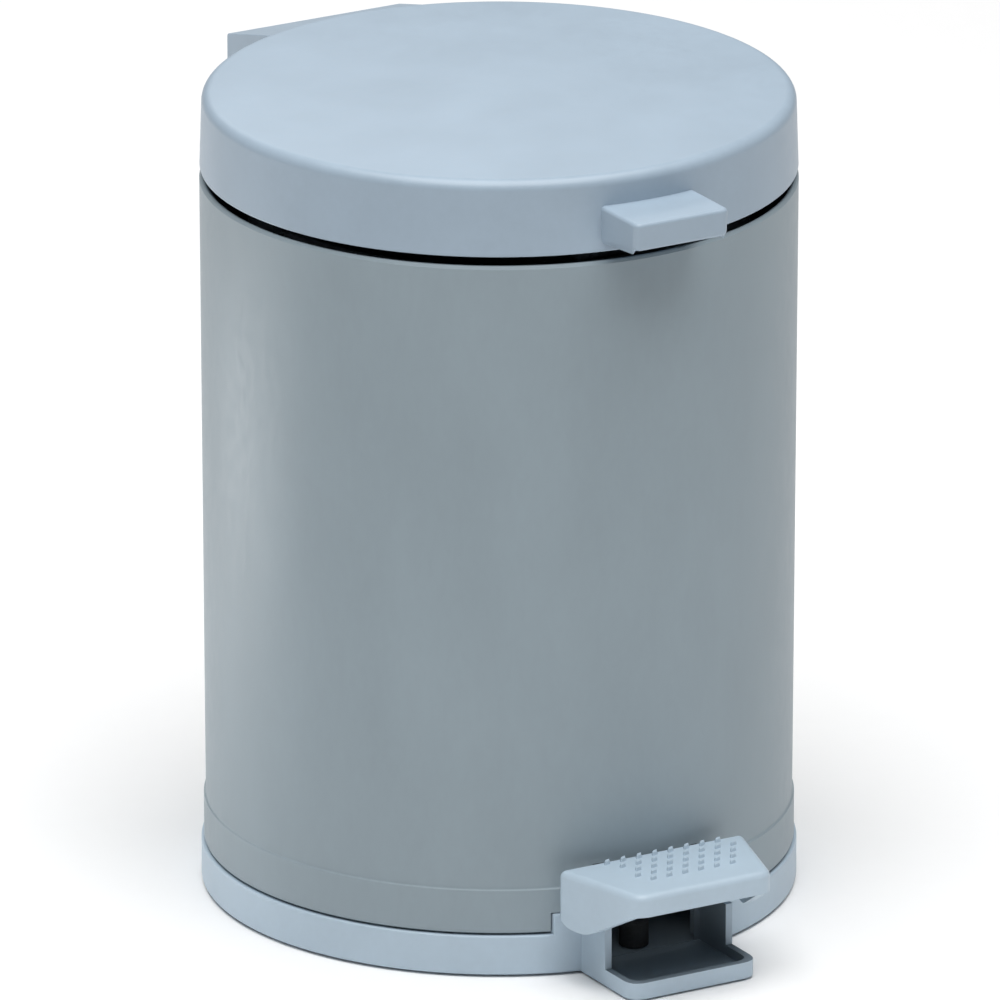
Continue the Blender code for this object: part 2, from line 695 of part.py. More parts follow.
# ---------------------------------------------------------------- lid
def lid_profile(inset):
    """Section of the lid from the middle of its top to its lower edge, or of the hollow inside it."""
    shoulder = LID_TOP_RADIUS - LID_FILLET
    fillet = LID_FILLET - inset
    top = LID_TOP - inset
    edge = top - LID_CROWN
    crown = [(shoulder * i / 4, top - LID_CROWN * (i / 4) ** 2) for i in range(4)]
    corner = arc((shoulder, edge - fillet), fillet, 90, 0, 4)
    return crown + corner


def lid():
    """Domed cover in one moulding with the lip, the hinge block and the crank."""
    outer = turned("lid", lid_profile(0) + [(LID_BOTTOM_RADIUS, LID_BOTTOM), (0, LID_BOTTOM)])
    shoulder = LID_TOP - LID_CROWN
    slope = (BLOCK_REAR_TOP - shoulder) / (BLOCK_REAR - BLOCK_FRONT)
    side_front = BODY_TOP_RADIUS + BLOCK_SIDE_ROOM
    block = outline("hinge_block", [
        (BLOCK_FRONT, LID_BOTTOM + 1.5 * OVER),
        (side_front, LID_BOTTOM + 1.5 * OVER),
        (side_front, BLOCK_BOTTOM),
        (BLOCK_REAR, BLOCK_BOTTOM),
        (BLOCK_REAR, BLOCK_REAR_TOP - 2 * EDGE),
        (BLOCK_REAR - 2 * EDGE, BLOCK_REAR_TOP),
        (BLOCK_FRONT, shoulder - PIN_PLAY),
    ], -BLOCK_HALF, BLOCK_HALF, across="X")
    lip_top = LID_BOTTOM + LIP_RISE
    lip_bottom = lip_top - LIP_HEIGHT
    lip_front = -BODY_TOP_RADIUS - LIP_REACH
    lip = box("lip", (-LIP_HALF, lip_front, lip_bottom), (LIP_HALF, -LID_TOP_RADIUS + 5 * OVER, lip_top))
    round_edges(lip, LIP_ROUND)
    join(outer, block, lip)
    hollow = turned("lid_hollow", lid_profile(WALL) + [
        (LID_BOTTOM_RADIUS - WALL, LID_BOTTOM - 2 * OVER),
        (0, LID_BOTTOM - 2 * OVER),
    ])
    roof = BLOCK_REAR_TOP - BLOCK_WALL
    cavity_rear = BLOCK_REAR - BLOCK_WALL
    cavity = outline("hinge_cavity", [
        (BLOCK_FRONT, BLOCK_BOTTOM - 5 * OVER),
        (cavity_rear, BLOCK_BOTTOM - 5 * OVER),
        (cavity_rear, roof),
        (BLOCK_FRONT, roof - slope * (cavity_rear - BLOCK_FRONT)),
    ], -BLOCK_HALF + BLOCK_WALL, BLOCK_HALF - BLOCK_WALL, across="X")
    cut(cavity, rod("skirt_keep", LID_BOTTOM_RADIUS + 2 * PIN_PLAY,
                    (0, 0, BODY_TOP - 0.05), (0, 0, LID_TOP + 0.02), ROUND_STEPS))
    under_lip = box("under_lip", (-LIP_HALF + LIP_WALL, lip_front + LIP_WALL, lip_bottom - 5 * OVER),
                    (LIP_HALF - LIP_WALL, -LID_BOTTOM_RADIUS - 1.5 * OVER, lip_top - LIP_WALL))
    cut(outer, hollow, cavity, under_lip)
    join(outer, crank())
    far = BLOCK_HALF + 5 * OVER
    cut(outer, rod("hinge_hole", HINGE_PIN_RADIUS + PIN_PLAY,
                   (-far, HINGE_Y, HINGE_Z), (far, HINGE_Y, HINGE_Z)))
    return piece(outer, "lid", lid_plastic())


def crank_slot(wall):
    """Outline of the slot that the push rod's hook slides in, or of the eye round it."""
    reach = CRANK_RADIUS * math.cos(LID_OPEN / 2)
    swing = (EYE_Y - PIVOT_Y) * (1 / math.cos(PEDAL_TRAVEL / 2) - 1)
    near = reach - swing
    aim = (-math.cos(LID_OPEN / 2), -math.sin(LID_OPEN / 2))
    ends = [(HINGE_Y + aim[0] * far, HINGE_Z + aim[1] * far) for far in (near, CRANK_RADIUS)]
    return capsule(ends[0], ends[1], ROD_RADIUS + CRANK_SLOT_PLAY + wall)


def crank():
    """Arm on the hinge axis that the push rod lifts, with a web up to the block's roof."""
    eye = outline("crank_eye", crank_slot(CRANK_RIM), -CRANK_HALF, CRANK_HALF, across="X")
    web_front = LID_BOTTOM_RADIUS + 3 * OVER
    web = outline("crank_web", [
        (web_front, HINGE_Z),
        *arc((HINGE_Y, HINGE_Z), HINGE_PIN_RADIUS + 2.5 * OVER, 200, 350, 8),
        (BLOCK_REAR - 7 * OVER, BLOCK_REAR_TOP - OVER),
        (web_front, BLOCK_REAR_TOP + 2 * OVER),
    ], -CRANK_HALF, CRANK_HALF, across="X")
    reach = 0.8 * CRANK_RADIUS
    arm = outline("crank_arm", capsule(
        (HINGE_Y, HINGE_Z),
        (HINGE_Y - reach * math.cos(LID_OPEN / 2), HINGE_Z - reach * math.sin(LID_OPEN / 2)),
        HINGE_PIN_RADIUS + 2 * OVER,
    ), -CRANK_HALF, CRANK_HALF, across="X")
    slot = outline("crank_slot", crank_slot(0), -CRANK_HALF - OVER, CRANK_HALF + OVER, across="X")
    return cut(join(web, arm, eye), slot)


def round_edges(obj, width):
    bevel = obj.modifiers.new("round", "BEVEL")
    bevel.width = width
    bevel.segments = 3
    bevel.limit_method = "ANGLE"
    bevel.angle_limit = math.radians(40)
    return obj


def hinge_pin():
    """Steel pin through the block's sides, the body's lugs and the crank, with a head at the left."""
    head = BLOCK_HALF + GAP
    end = head + RETAINER_THICK + PIN_END
    pin = rod("hinge_pin", HINGE_PIN_RADIUS, (-head - EDGE, HINGE_Y, HINGE_Z), (end, HINGE_Y, HINGE_Z))
    join(pin, rod("pin_head", HINGE_PIN_RADIUS + HINGE_PIN_HEAD_SIDE,
                  (-head - HINGE_PIN_HEAD, HINGE_Y, HINGE_Z), (-head, HINGE_Y, HINGE_Z)))
    piece(pin, "hinge_pin", steel())
    washer = ring("retainer", HINGE_PIN_RADIUS + RETAINER_SIDE, HINGE_PIN_RADIUS + PIN_PLAY, head,
                  head + RETAINER_THICK, HINGE_Y, HINGE_Z)
    piece(washer, "hinge_pin_retainer", steel())


# ---------------------------------------------------------------- pedal and lever
def pedal_plan(inset, rear):
    """Plan of the tread, wide at the body and narrow at the toe, with rounded toe corners."""
    half_rear = PEDAL_REAR_HALF - inset
    half_front = PEDAL_FRONT_HALF - inset
    front = PEDAL_FRONT - inset
    corner = PEDAL_CORNER - inset / 2
    lean = math.degrees(math.atan2(PEDAL_REAR_HALF - PEDAL_FRONT_HALF, PEDAL_FRONT - PEDAL_REAR))
    right = arc((half_front - corner, -front + corner), corner, 270, 360 - lean, 5)
    left = [(-x, y) for x, y in reversed(right)]
    return [(-half_rear, -rear), *left, *right, (half_rear, -rear)]


def pedal():
    """Tread cap: a nubbed top over two cheeks and a front lip, open below and behind."""
    cheek_low = PEDAL_TOP - CHEEK_HEIGHT
    cheek_rear = PEDAL_TOP - CHEEK_REAR_HEIGHT
    cheek_front = PEDAL_REAR + CHEEK_LENGTH
    front_lip = PEDAL_TOP - FRONT_LIP_HEIGHT
    tread = outline("pedal", pedal_plan(0, PEDAL_REAR), cheek_low - 3 * OVER, PEDAL_TOP)
    round_edges(tread, PEDAL_ROUND)
    below = cheek_low - 6 * OVER
    far = PEDAL_REAR_HALF + 0.01
    cut(
        tread,
        outline("cheek_line", [
            (-PEDAL_REAR + 2 * OVER, below),
            (-PEDAL_REAR + 2 * OVER, cheek_rear),
            (-PEDAL_REAR, cheek_rear),
            (-PEDAL_REAR - 3.5 * OVER, cheek_low + 1.2 * OVER),
            (-cheek_front + 5 * OVER, cheek_low),
            (-cheek_front, cheek_low),
            (-PEDAL_FRONT + 3 * OVER, front_lip),
            (-PEDAL_FRONT - 2 * OVER, front_lip),
            (-PEDAL_FRONT - 2 * OVER, below),
        ], -far, far, across="X"),
        outline("tread_hollow", pedal_plan(PEDAL_SKIN, PEDAL_REAR - 4 * OVER), 0, PEDAL_TOP - PEDAL_SKIN),
    )
    in_skin = PEDAL_TOP - PEDAL_SKIN / 2
    for place, back in PEDAL_SCREW_PLACES.items():
        y = -PEDAL_REAR - back
        join(tread, rod(f"tread_boss_{place}", SCREW_RADIUS + PEDAL_BOSS_WALL, (0, y, LEVER_TOP + GAP),
                        (0, y, in_skin)))
        cut(tread, rod(f"tread_hole_{place}", SCREW_RADIUS + PIN_PLAY, (0, y, LEVER_TOP - 2 * OVER),
                       (0, y, in_skin)))
    beside = LEVER_HALF + 2 * GAP
    for side in (-1, 1):
        inner, outer = sorted((side * beside, side * (beside + LEVER_SHEET)))
        join(tread, box(f"tread_rib_{side}", (inner, -PEDAL_FRONT + 1.5 * OVER, LEVER_TOP - 3 * OVER),
                        (outer, -PEDAL_REAR - 2 * OVER, in_skin)))
    join(tread, nubs())
    return piece(tread, "pedal", base_plastic())


def nubs():
    """Staggered rows of low four-sided studs on the tread, joined by a thin plate inside its skin."""
    shape = bmesh.new()
    first_row = PEDAL_REAR + NUB_BORDER
    narrowing = (PEDAL_FRONT_HALF - PEDAL_REAR_HALF) / PEDAL_LENGTH
    left_most = right_most = 0
    for row in range(NUB_ROWS):
        front = first_row + NUB_PITCH_Y * row
        half = PEDAL_REAR_HALF + narrowing * (front - PEDAL_REAR)
        shift = NUB_PITCH_X / 2 if row % 2 else 0
        first = math.ceil((NUB_LEFT_BORDER - half - shift) / NUB_PITCH_X)
        last = math.floor((half - NUB_RIGHT_BORDER - shift) / NUB_PITCH_X)
        places = [shift + NUB_PITCH_X * i for i in range(first, last + 1)]
        left_most = min(left_most, places[0])
        right_most = max(right_most, places[-1])
        for x in places:
            bmesh.ops.create_cone(
                shape, cap_ends=True, segments=4, radius1=NUB_RADIUS * 1.4, radius2=NUB_RADIUS * 0.6,
                depth=NUB_RISE + NUB_SUNK,
                matrix=Matrix.Translation((x, -front, PEDAL_TOP + (NUB_RISE - NUB_SUNK) / 2)),
            )
    studs = mesh_object("nubs", shape)
    last_row = first_row + NUB_PITCH_Y * (NUB_ROWS - 1)
    plate = box("nub_plate", (left_most - EDGE, -last_row - EDGE, PEDAL_TOP - 1.6 * OVER),
                (right_most + EDGE, -first_row + EDGE, PEDAL_TOP - GAP))
    return join(plate, studs)


def lever_line(drop):
    """The top of the lever from front to rear, lowered by drop."""
    flat = PIVOT_Z + PIVOT_PIN_RADIUS + LEVER_SIDE - drop
    return [
        (-LEVER_FRONT, LEVER_TOP - drop),
        (-BODY_LOW_RADIUS, LEVER_TOP - drop),
        (PIVOT_Y - LEVER_FLAT, flat),
        (PIVOT_Y + LEVER_FLAT, flat),
        (EYE_Y - 0.020, EYE_Z + EYE_RADIUS + OVER - drop),
        (EYE_Y, EYE_Z + EYE_RADIUS - drop),
    ]


def lever_height(front, drop):
    """Height of the lever's line at a distance in front of the bin's axis."""
    line = lever_line(drop)
    for (y0, z0), (y1, z1) in zip(line, line[1:]):
        if y0 <= -front <= y1:
            return z0 + (z1 - z0) * (-front - y0) / (y1 - y0)
    return line[0][1]


def pedal_lever():
    """Pressed steel channel, open below, from the tread back to the push rod's eye."""
    top = lever_line(0)
    at_pivot = 2 * (PIVOT_PIN_RADIUS + LEVER_SIDE)
    depths = (LEVER_DEPTH, LEVER_DEPTH, at_pivot, at_pivot, 2 * EYE_RADIUS)
    low = [(y, z - depth) for (y, z), depth in zip(top, depths)]
    lever = outline("pedal_lever", top[:-1] + arc((EYE_Y, EYE_Z), EYE_RADIUS, 90, -90, 10) + low[::-1],
                    -LEVER_HALF, LEVER_HALF, across="X")
    inside = lever_line(LEVER_SHEET)
    ends = (inside[0][0] - 10 * OVER, inside[-1][0] + 10 * OVER)
    end = LEVER_HALF + OVER
    cut(
        lever,
        outline("channel", [(ends[0], inside[0][1]), *inside[1:], (ends[1], inside[-1][1]),
                            (ends[1], EYE_Z - 0.02), (ends[0], EYE_Z - 0.02)],
                -LEVER_HALF + LEVER_SHEET, LEVER_HALF - LEVER_SHEET, across="X"),
        rod("lever_pivot_hole", PIVOT_PIN_RADIUS + PIN_PLAY,
            (-end, PIVOT_Y, PIVOT_Z), (end, PIVOT_Y, PIVOT_Z)),
        rod("lever_eye", ROD_RADIUS + 2 * PIN_PLAY, (-end, EYE_Y, EYE_Z), (end, EYE_Y, EYE_Z)),
    )
    for place, back in PEDAL_SCREW_PLACES.items():
        y = -PEDAL_REAR - back
        cut(lever, rod(f"lever_hole_{place}", SCREW_RADIUS + 2 * PIN_PLAY,
                       (0, y, LEVER_TOP - LEVER_SHEET - 2 * OVER), (0, y, LEVER_TOP + 2 * OVER)))
    return piece(lever, "pedal_lever", steel())


def pedal_screws():
    """Two pan-head screws from inside the channel up into the tread's bosses."""
    made = []
    seat = LEVER_TOP - LEVER_SHEET - GAP
    for place, back in PEDAL_SCREW_PLACES.items():
        y = -PEDAL_REAR - back
        shank = rod("shank", SCREW_RADIUS, (0, y, seat - EDGE), (0, y, PEDAL_TOP - PEDAL_SKIN))
        join(shank, rod(f"pedal_screw_head_{place}", SCREW_HEAD_RADIUS,
                        (0, y, seat - SCREW_HEAD), (0, y, seat)))
        made.append(piece(shank, f"pedal_screw_{place}", steel()))
    return made


def pivot_hardware():
    """The lever's pivot pin in the base's posts, with its spacers and clips."""
    end = PIVOT_POST_OUTER + GAP + CLIP_THICK + PIN_END
    pin = rod("pin", PIVOT_PIN_RADIUS, (-end, PIVOT_Y, PIVOT_Z), (end, PIVOT_Y, PIVOT_Z))
    piece(pin, "pivot_pin", steel())
    for name, side in (("left", -1), ("right", 1)):
        for kind, near, thick, wider, finish in (
            ("spacer", LEVER_HALF + GAP, SPACER_THICK, SPACER_SIDE, acetal()),
            ("clip", PIVOT_POST_OUTER + GAP, CLIP_THICK, CLIP_SIDE, steel()),
        ):
            low, high = sorted((side * near, side * (near + thick)))
            made = ring(f"{kind}_{name}", PIVOT_PIN_RADIUS + wider, PIVOT_PIN_RADIUS + PIN_PLAY, low, high,
                        PIVOT_Y, PIVOT_Z)
            piece(made, f"pivot_{kind}_{name}", finish)


def stop_pad():
    """Rubber block on the base's floor that ends the pedal's travel."""
    front = RING_INNER - STOP_PAD_ROOM
    toe = front + STOP_PAD_RADIUS
    reach = toe + PIVOT_Y
    over = lever_height(toe, LEVER_DEPTH) - PIVOT_Z
    landing = PIVOT_Z - reach * math.sin(PEDAL_TRAVEL) + over * math.cos(PEDAL_TRAVEL)
    pad = rod("stop", STOP_PAD_RADIUS, (0, -front, BASE_FLOOR_TOP + GAP), (0, -front, landing - 2 * GAP))
    piece(pad, "lever_stop_pad", rubber())


# ---------------------------------------------------------------- push rod
def push_rod():
    """Bent steel wire: a hook in the lever's eye, a joggle to the wall, and a hook in the crank."""
    low_end = -LEVER_HALF - GAP - ROD_CAP_THICK - PIN_END
    top_end = -CRANK_HALF - GAP - ROD_CAP_THICK - PIN_END
    bend_x = ROD_X - ROD_BEND
    low_bend = [(bend_x + x, EYE_Y, EYE_Z + ROD_BEND + z) for x, z in arc((0, 0), ROD_BEND, -90, 0, 5)]
    top_bend = [(bend_x + x, ROD_TOP_Y, ROD_TOP_Z - ROD_BEND + z) for x, z in arc((0, 0), ROD_BEND, 0, 90, 5)]
    joggle = []
    for i in range(7):
        along = (1 - math.cos(math.pi * i / 6)) / 2
        joggle.append((ROD_X, EYE_Y + (ROD_TOP_Y - EYE_Y) * along, JOGGLE_LOW + JOGGLE_HEIGHT * i / 6))
    points = [(low_end, EYE_Y, EYE_Z), *low_bend, *joggle, *top_bend, (top_end, ROD_TOP_Y, ROD_TOP_Z)]
    made = [piece(wire("rod", points, ROD_RADIUS), "push_rod", steel())]
    for name, near, y, z in (
        ("lower", -LEVER_HALF - GAP, EYE_Y, EYE_Z),
        ("upper", -CRANK_HALF - GAP, ROD_TOP_Y, ROD_TOP_Z),
    ):
        cap = ring(f"cap_{name}", ROD_RADIUS + ROD_CAP_SIDE, ROD_RADIUS + PIN_PLAY,
                   near - ROD_CAP_THICK, near, y, z)
        made.append(piece(cap, f"rod_cap_{name}", acetal()))
    return made


# ---------------------------------------------------------------- inner bucket
def inner_bucket():
    """Tapered pail with a rim and two ears for the bail."""
    inside_top = BUCKET_TOP_RADIUS - BUCKET_WALL
    inside_low = BUCKET_LOW_RADIUS - BUCKET_WALL
    rim_low = BUCKET_RIM_TOP - BUCKET_RIM
    pail = turned("inner_bucket", [
        (0, BUCKET_BOTTOM + BUCKET_WALL),
        (inside_low - BUCKET_CORNER, BUCKET_BOTTOM + BUCKET_WALL),
        (inside_low, BUCKET_BOTTOM + BUCKET_WALL + BUCKET_CORNER),
        (inside_top, BUCKET_RIM_TOP),
        (BUCKET_RIM_RADIUS - EDGE, BUCKET_RIM_TOP),
        (BUCKET_RIM_RADIUS, BUCKET_RIM_TOP - EDGE),
        (BUCKET_RIM_RADIUS, rim_low),
        (BUCKET_TOP_RADIUS, rim_low),
        (BUCKET_LOW_RADIUS, BUCKET_BOTTOM + BUCKET_CORNER),
        (BUCKET_LOW_RADIUS - BUCKET_CORNER, BUCKET_BOTTOM),
        (0, BUCKET_BOTTOM),
    ])
    hole = BAIL_RADIUS + 2 * PIN_PLAY
    outside = EAR_INNER + EAR_THICK
    for side in (-1, 1):
        inner, outer = sorted((side * EAR_INNER, side * outside))
        tab_inner, tab_outer = sorted((side * BUCKET_TOP_RADIUS, side * (outside - PIN_PLAY)))
        join(
            pail,
            outline(f"ear_{side}", [
                (-EAR_HALF, rim_low),
                (EAR_HALF, rim_low),
                *arc((0, BAIL_Z), hole + EAR_WALL, 0, 180, 10),
            ], inner, outer, across="X"),
            box(f"ear_tab_{side}", (tab_inner, PIN_PLAY - EAR_HALF, rim_low + 2 * PIN_PLAY),
                (tab_outer, EAR_HALF - PIN_PLAY, BUCKET_RIM_TOP - 2 * PIN_PLAY)),
        )
        cut(pail, rod(f"ear_hole_{side}", hole, (inner - OVER, 0, BAIL_Z), (outer + OVER, 0, BAIL_Z)))
    return piece(pail, "inner_bucket", bucket_plastic())


def bail():
    """Wire handle folded on the bucket's rim, and the roller grip that rests on it."""
    first, sweep, count = 3, 65, 14
    last = math.radians(-first - sweep)
    circle = BUCKET_TOP_RADIUS
    on_circle = [around(-first - sweep * i / count, circle) for i in range(count + 1)]
    start = Vector(on_circle[-1])
    run = (GRIP_Y - start.y) / -math.cos(last)
    corner = start + run * Vector((math.sin(last), -math.cos(last)))
    end = corner - Vector((run, 0))
    bend = []
    for i in range(1, 5):
        share = i / 4
        bend.append(tuple(start.lerp(corner, share).lerp(corner.lerp(end, share), share)))
    outside = EAR_INNER + EAR_THICK + 2 * OVER
    half = [(outside, 0), (EAR_INNER, 0), (circle + EDGE, -0.9 * OVER), *on_circle, *bend]
    plan = half + [(-x, y) for x, y in reversed(half)]
    handle = piece(wire("bail", [(x, y, BAIL_Z) for x, y in plan], BAIL_RADIUS), "bucket_bail", steel())
    grip = ring("grip", GRIP_RADIUS, BAIL_RADIUS + 2 * PIN_PLAY, -GRIP_HALF, GRIP_HALF, GRIP_Y, BAIL_Z)
    return [handle, piece(grip, "bail_grip", acetal())]


# ---------------------------------------------------------------- assembly
base()
base_screws()
foot_pads()
outer_body()
rim_buffers()
rod_guide()
hinge_pin()
pivot_hardware()
stop_pad()
on_axis("lid_hinge_axis", (0, HINGE_Y, HINGE_Z), lid())
on_axis("pedal_pivot_axis", (0, PIVOT_Y, PIVOT_Z), pedal(), pedal_lever(), *pedal_screws())
on_axis("rod_eye_axis", (0, EYE_Y, EYE_Z), *push_rod())
on_axis("bucket_lift_axis", (0, 0, BUCKET_BOTTOM), inner_bucket())
on_axis("bail_axis", (0, 0, BAIL_Z), *bail())
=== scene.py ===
"""A round pedal bin in moulded polypropylene, with its lid, pedal linkage and lift-out bucket."""
import json
import math

import bmesh
import bpy
from mathutils import Matrix, Vector


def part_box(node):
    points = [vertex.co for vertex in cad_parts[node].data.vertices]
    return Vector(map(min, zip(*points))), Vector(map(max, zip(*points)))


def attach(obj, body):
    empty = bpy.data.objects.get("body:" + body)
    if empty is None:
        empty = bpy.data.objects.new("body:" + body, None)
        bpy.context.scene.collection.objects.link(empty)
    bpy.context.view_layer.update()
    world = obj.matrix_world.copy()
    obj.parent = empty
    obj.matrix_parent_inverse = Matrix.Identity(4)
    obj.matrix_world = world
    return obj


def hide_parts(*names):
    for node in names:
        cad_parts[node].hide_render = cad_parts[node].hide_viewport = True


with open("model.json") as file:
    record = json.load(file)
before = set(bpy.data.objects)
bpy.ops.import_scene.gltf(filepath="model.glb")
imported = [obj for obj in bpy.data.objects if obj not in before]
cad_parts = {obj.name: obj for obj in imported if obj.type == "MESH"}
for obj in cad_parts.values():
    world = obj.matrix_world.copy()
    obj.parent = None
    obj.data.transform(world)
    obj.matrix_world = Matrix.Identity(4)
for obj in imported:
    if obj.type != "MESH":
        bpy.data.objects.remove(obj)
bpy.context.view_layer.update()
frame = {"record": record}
axis_of = {joint["name"]: Vector(joint.get("pos_m", (0, 0, 0)))
           for joint in frame["record"]["behaviour"]["joints"]}

# ---- Base --------------------------------------------------------------------------------
# One injection moulding in polypropylene: a low ring with a floor, the cowl that rises behind
# the pedal and the shallow foot tray in front of it. Bosses take the four screws that hold it
# to the body, and two posts carry the pedal lever's pin.
MM = 0.001
FIT = 0.3 * MM               # left between two pieces that touch
SHY = 0.02 * MM              # keeps faces that would coincide apart before a union
WELD = 0.003 * MM            # points nearer than this are one
ROUND = 256                  # facets round the large turned pieces


def colour(code, shade=1.0):
    """An sRGB hex colour as linear red, green, blue and alpha."""
    channels = [int(code[i:i + 2], 16) / 255 for i in (1, 3, 5)]
    linear = [c / 12.92 if c < 0.04045 else ((c + 0.055) / 1.055) ** 2.4 for c in channels]
    return [min(1.0, c * shade) for c in linear] + [1.0]


def node(tree, kind, settings=None, inputs=None):
    """Adds a node with its settings; an input takes a value or the socket that feeds it."""
    made = tree.nodes.new(kind)
    for name, value in (settings or {}).items():
        setattr(made, name, value)
    for name, value in (inputs or {}).items():
        if isinstance(value, bpy.types.NodeSocket):
            tree.links.new(value, made.inputs[name])
        else:
            made.inputs[name].default_value = value
    return made


def blank_material(name):
    """A new material, its node tree, its shader and the object coordinates to pattern it by."""
    made = bpy.data.materials.new(name)
    made.use_nodes = True
    tree = made.node_tree
    place = node(tree, "ShaderNodeTexCoord").outputs["Object"]
    return made, tree, tree.nodes["Principled BSDF"], place


def moulded_plastic(name, code, roughness, streak=1.0):
    """Polypropylene from a spark-eroded mould: satin, finely grained, its pigment faintly uneven."""
    grain_size, mottle_size, speck_size = 0.9 * MM, 34 * MM, 3.2 * MM
    made, tree, shader, place = blank_material(name)
    drawn = node(tree, "ShaderNodeMapping", inputs={"Vector": place, "Scale": (1, 1, streak)}).outputs[0]
    mottle = node(tree, "ShaderNodeTexNoise", inputs={
        "Vector": drawn, "Scale": 1 / mottle_size, "Detail": 3.0, "Roughness": 0.5})
    specks = node(tree, "ShaderNodeTexNoise", inputs={
        "Vector": drawn, "Scale": 1 / speck_size, "Detail": 2.0, "Roughness": 0.6})
    both = node(tree, "ShaderNodeMath", {"operation": "MULTIPLY_ADD"}, {
        0: specks.outputs["Fac"], 1: 0.35, 2: mottle.outputs["Fac"]})
    tone = node(tree, "ShaderNodeMapRange", inputs={
        "Value": both.outputs[0], "From Min": 0.45, "From Max": 0.90})
    blend = node(tree, "ShaderNodeMix", {"data_type": "RGBA"}, {
        0: tone.outputs[0], 6: colour(code, 0.955), 7: colour(code, 1.045)})
    tree.links.new(blend.outputs[2], shader.inputs["Base Color"])
    gloss = node(tree, "ShaderNodeMapRange", inputs={
        "Value": specks.outputs["Fac"], "From Min": 0.3, "From Max": 0.7,
        "To Min": roughness - 0.04, "To Max": roughness + 0.04})
    tree.links.new(gloss.outputs[0], shader.inputs["Roughness"])
    grain = node(tree, "ShaderNodeTexNoise", inputs={
        "Vector": place, "Scale": 1 / grain_size, "Detail": 2.0, "Roughness": 0.55})
    bump = node(tree, "ShaderNodeBump", inputs={
        "Height": grain.outputs["Fac"], "Strength": 0.35, "Distance": 0.03 * MM})
    tree.links.new(bump.outputs[0], shader.inputs["Normal"])
    shader.inputs["IOR"].default_value = 1.49
    return made


def linked(name, mesh):
    obj = bpy.data.objects.new(name, mesh)
    bpy.context.scene.collection.objects.link(obj)
    return obj


def from_bmesh(name, shape):
    bmesh.ops.recalc_face_normals(shape, faces=shape.faces)
    mesh = bpy.data.meshes.new(name)
    shape.to_mesh(mesh)
    shape.free()
    return linked(name, mesh)


def settle(obj):
    """Turns what the object's modifiers make of it into its plain mesh."""
    bpy.context.view_layer.update()
    graph = bpy.context.evaluated_depsgraph_get()
    mesh = bpy.data.meshes.new_from_object(obj.evaluated_get(graph))
    obj.modifiers.clear()
    obj.data = mesh
    return obj


def geometry_tree(name, sizes):
    """An empty geometry tree with a named input for each size, and its two end nodes."""
    tree = bpy.data.node_groups.new(name, "GeometryNodeTree")
    tree.is_modifier = True
    tree.interface.new_socket("Geometry", in_out="INPUT", socket_type="NodeSocketGeometry")
    for label, kind in sizes.items():
        tree.interface.new_socket(label, in_out="INPUT", socket_type=f"NodeSocket{kind}")
    tree.interface.new_socket("Geometry", in_out="OUTPUT", socket_type="NodeSocketGeometry")
    return tree, node(tree, "NodeGroupInput").outputs, node(tree, "NodeGroupOutput").inputs


def coated_end(tree, geometry, given, result):
    """Ends a geometry tree: its instances made real and given the material."""
    real = node(tree, "GeometryNodeRealizeInstances", inputs={"Geometry": geometry})
    coated = node(tree, "GeometryNodeSetMaterial", inputs={
        "Geometry": real.outputs[0], "Material": given["Material"]})
    tree.links.new(coated.outputs[0], result["Geometry"])
    return tree


def grow(name, tree, points, edges, **sizes):
    """Runs a geometry tree on some points and edges, and keeps the plain mesh that it makes."""
    mesh = bpy.data.meshes.new(name)
    mesh.from_pydata(points, edges, [])
    obj = linked(name, mesh)
    modifier = obj.modifiers.new("grow", "NODES")
    modifier.node_group = tree
    for item in tree.interface.items_tree:
        if item.name in sizes:
            modifier[item.identifier] = sizes[item.name]
    settle(obj)
    shape = bmesh.new()
    shape.from_mesh(obj.data)
    bmesh.ops.recalc_face_normals(shape, faces=shape.faces)
    shape.to_mesh(obj.data)
    shape.free()
    return obj


def turning_tree():
    """Sweeps a section round Z: a circle of no size carries it, and the poles are closed."""
    tree, given, result = geometry_tree("turned section", {"Steps": "Int", "Material": "Material"})
    section = node(tree, "GeometryNodeMeshToCurve", inputs={"Mesh": given["Geometry"]})
    path = node(tree, "GeometryNodeCurvePrimitiveCircle", inputs={
        "Resolution": given["Steps"], "Radius": 0.001 * MM})
    swept = node(tree, "GeometryNodeCurveToMesh", inputs={
        "Curve": path.outputs["Curve"], "Profile Curve": section.outputs["Curve"]})
    closed = node(tree, "GeometryNodeMergeByDistance", inputs={
        "Geometry": swept.outputs["Mesh"], "Distance": 0.01 * MM})
    return coated_end(tree, closed.outputs[0], given, result)


TURNING = turning_tree()


def turned(name, section, steps=ROUND):
    """A section of (radius, height) points turned round Z, a loop where it stays off the axis."""
    count = len(section)
    last = count - 1 if section[0][0] == 0 else count
    points = [(radius, -height, 0) for radius, height in section]
    return grow(name, TURNING, points, [(i, (i + 1) % count) for i in range(last)], Steps=steps)


def arc(centre, radius, first, last, count=6):
    """Points on an arc between two angles in degrees."""
    angles = [math.radians(first + (last - first) * i / count) for i in range(count + 1)]
    return [(centre[0] + radius * math.cos(a), centre[1] + radius * math.sin(a)) for a in angles]


def circle(centre, radius, steps=48):
    return arc(centre, radius, 0, 360 * (steps - 1) / steps, steps - 1)


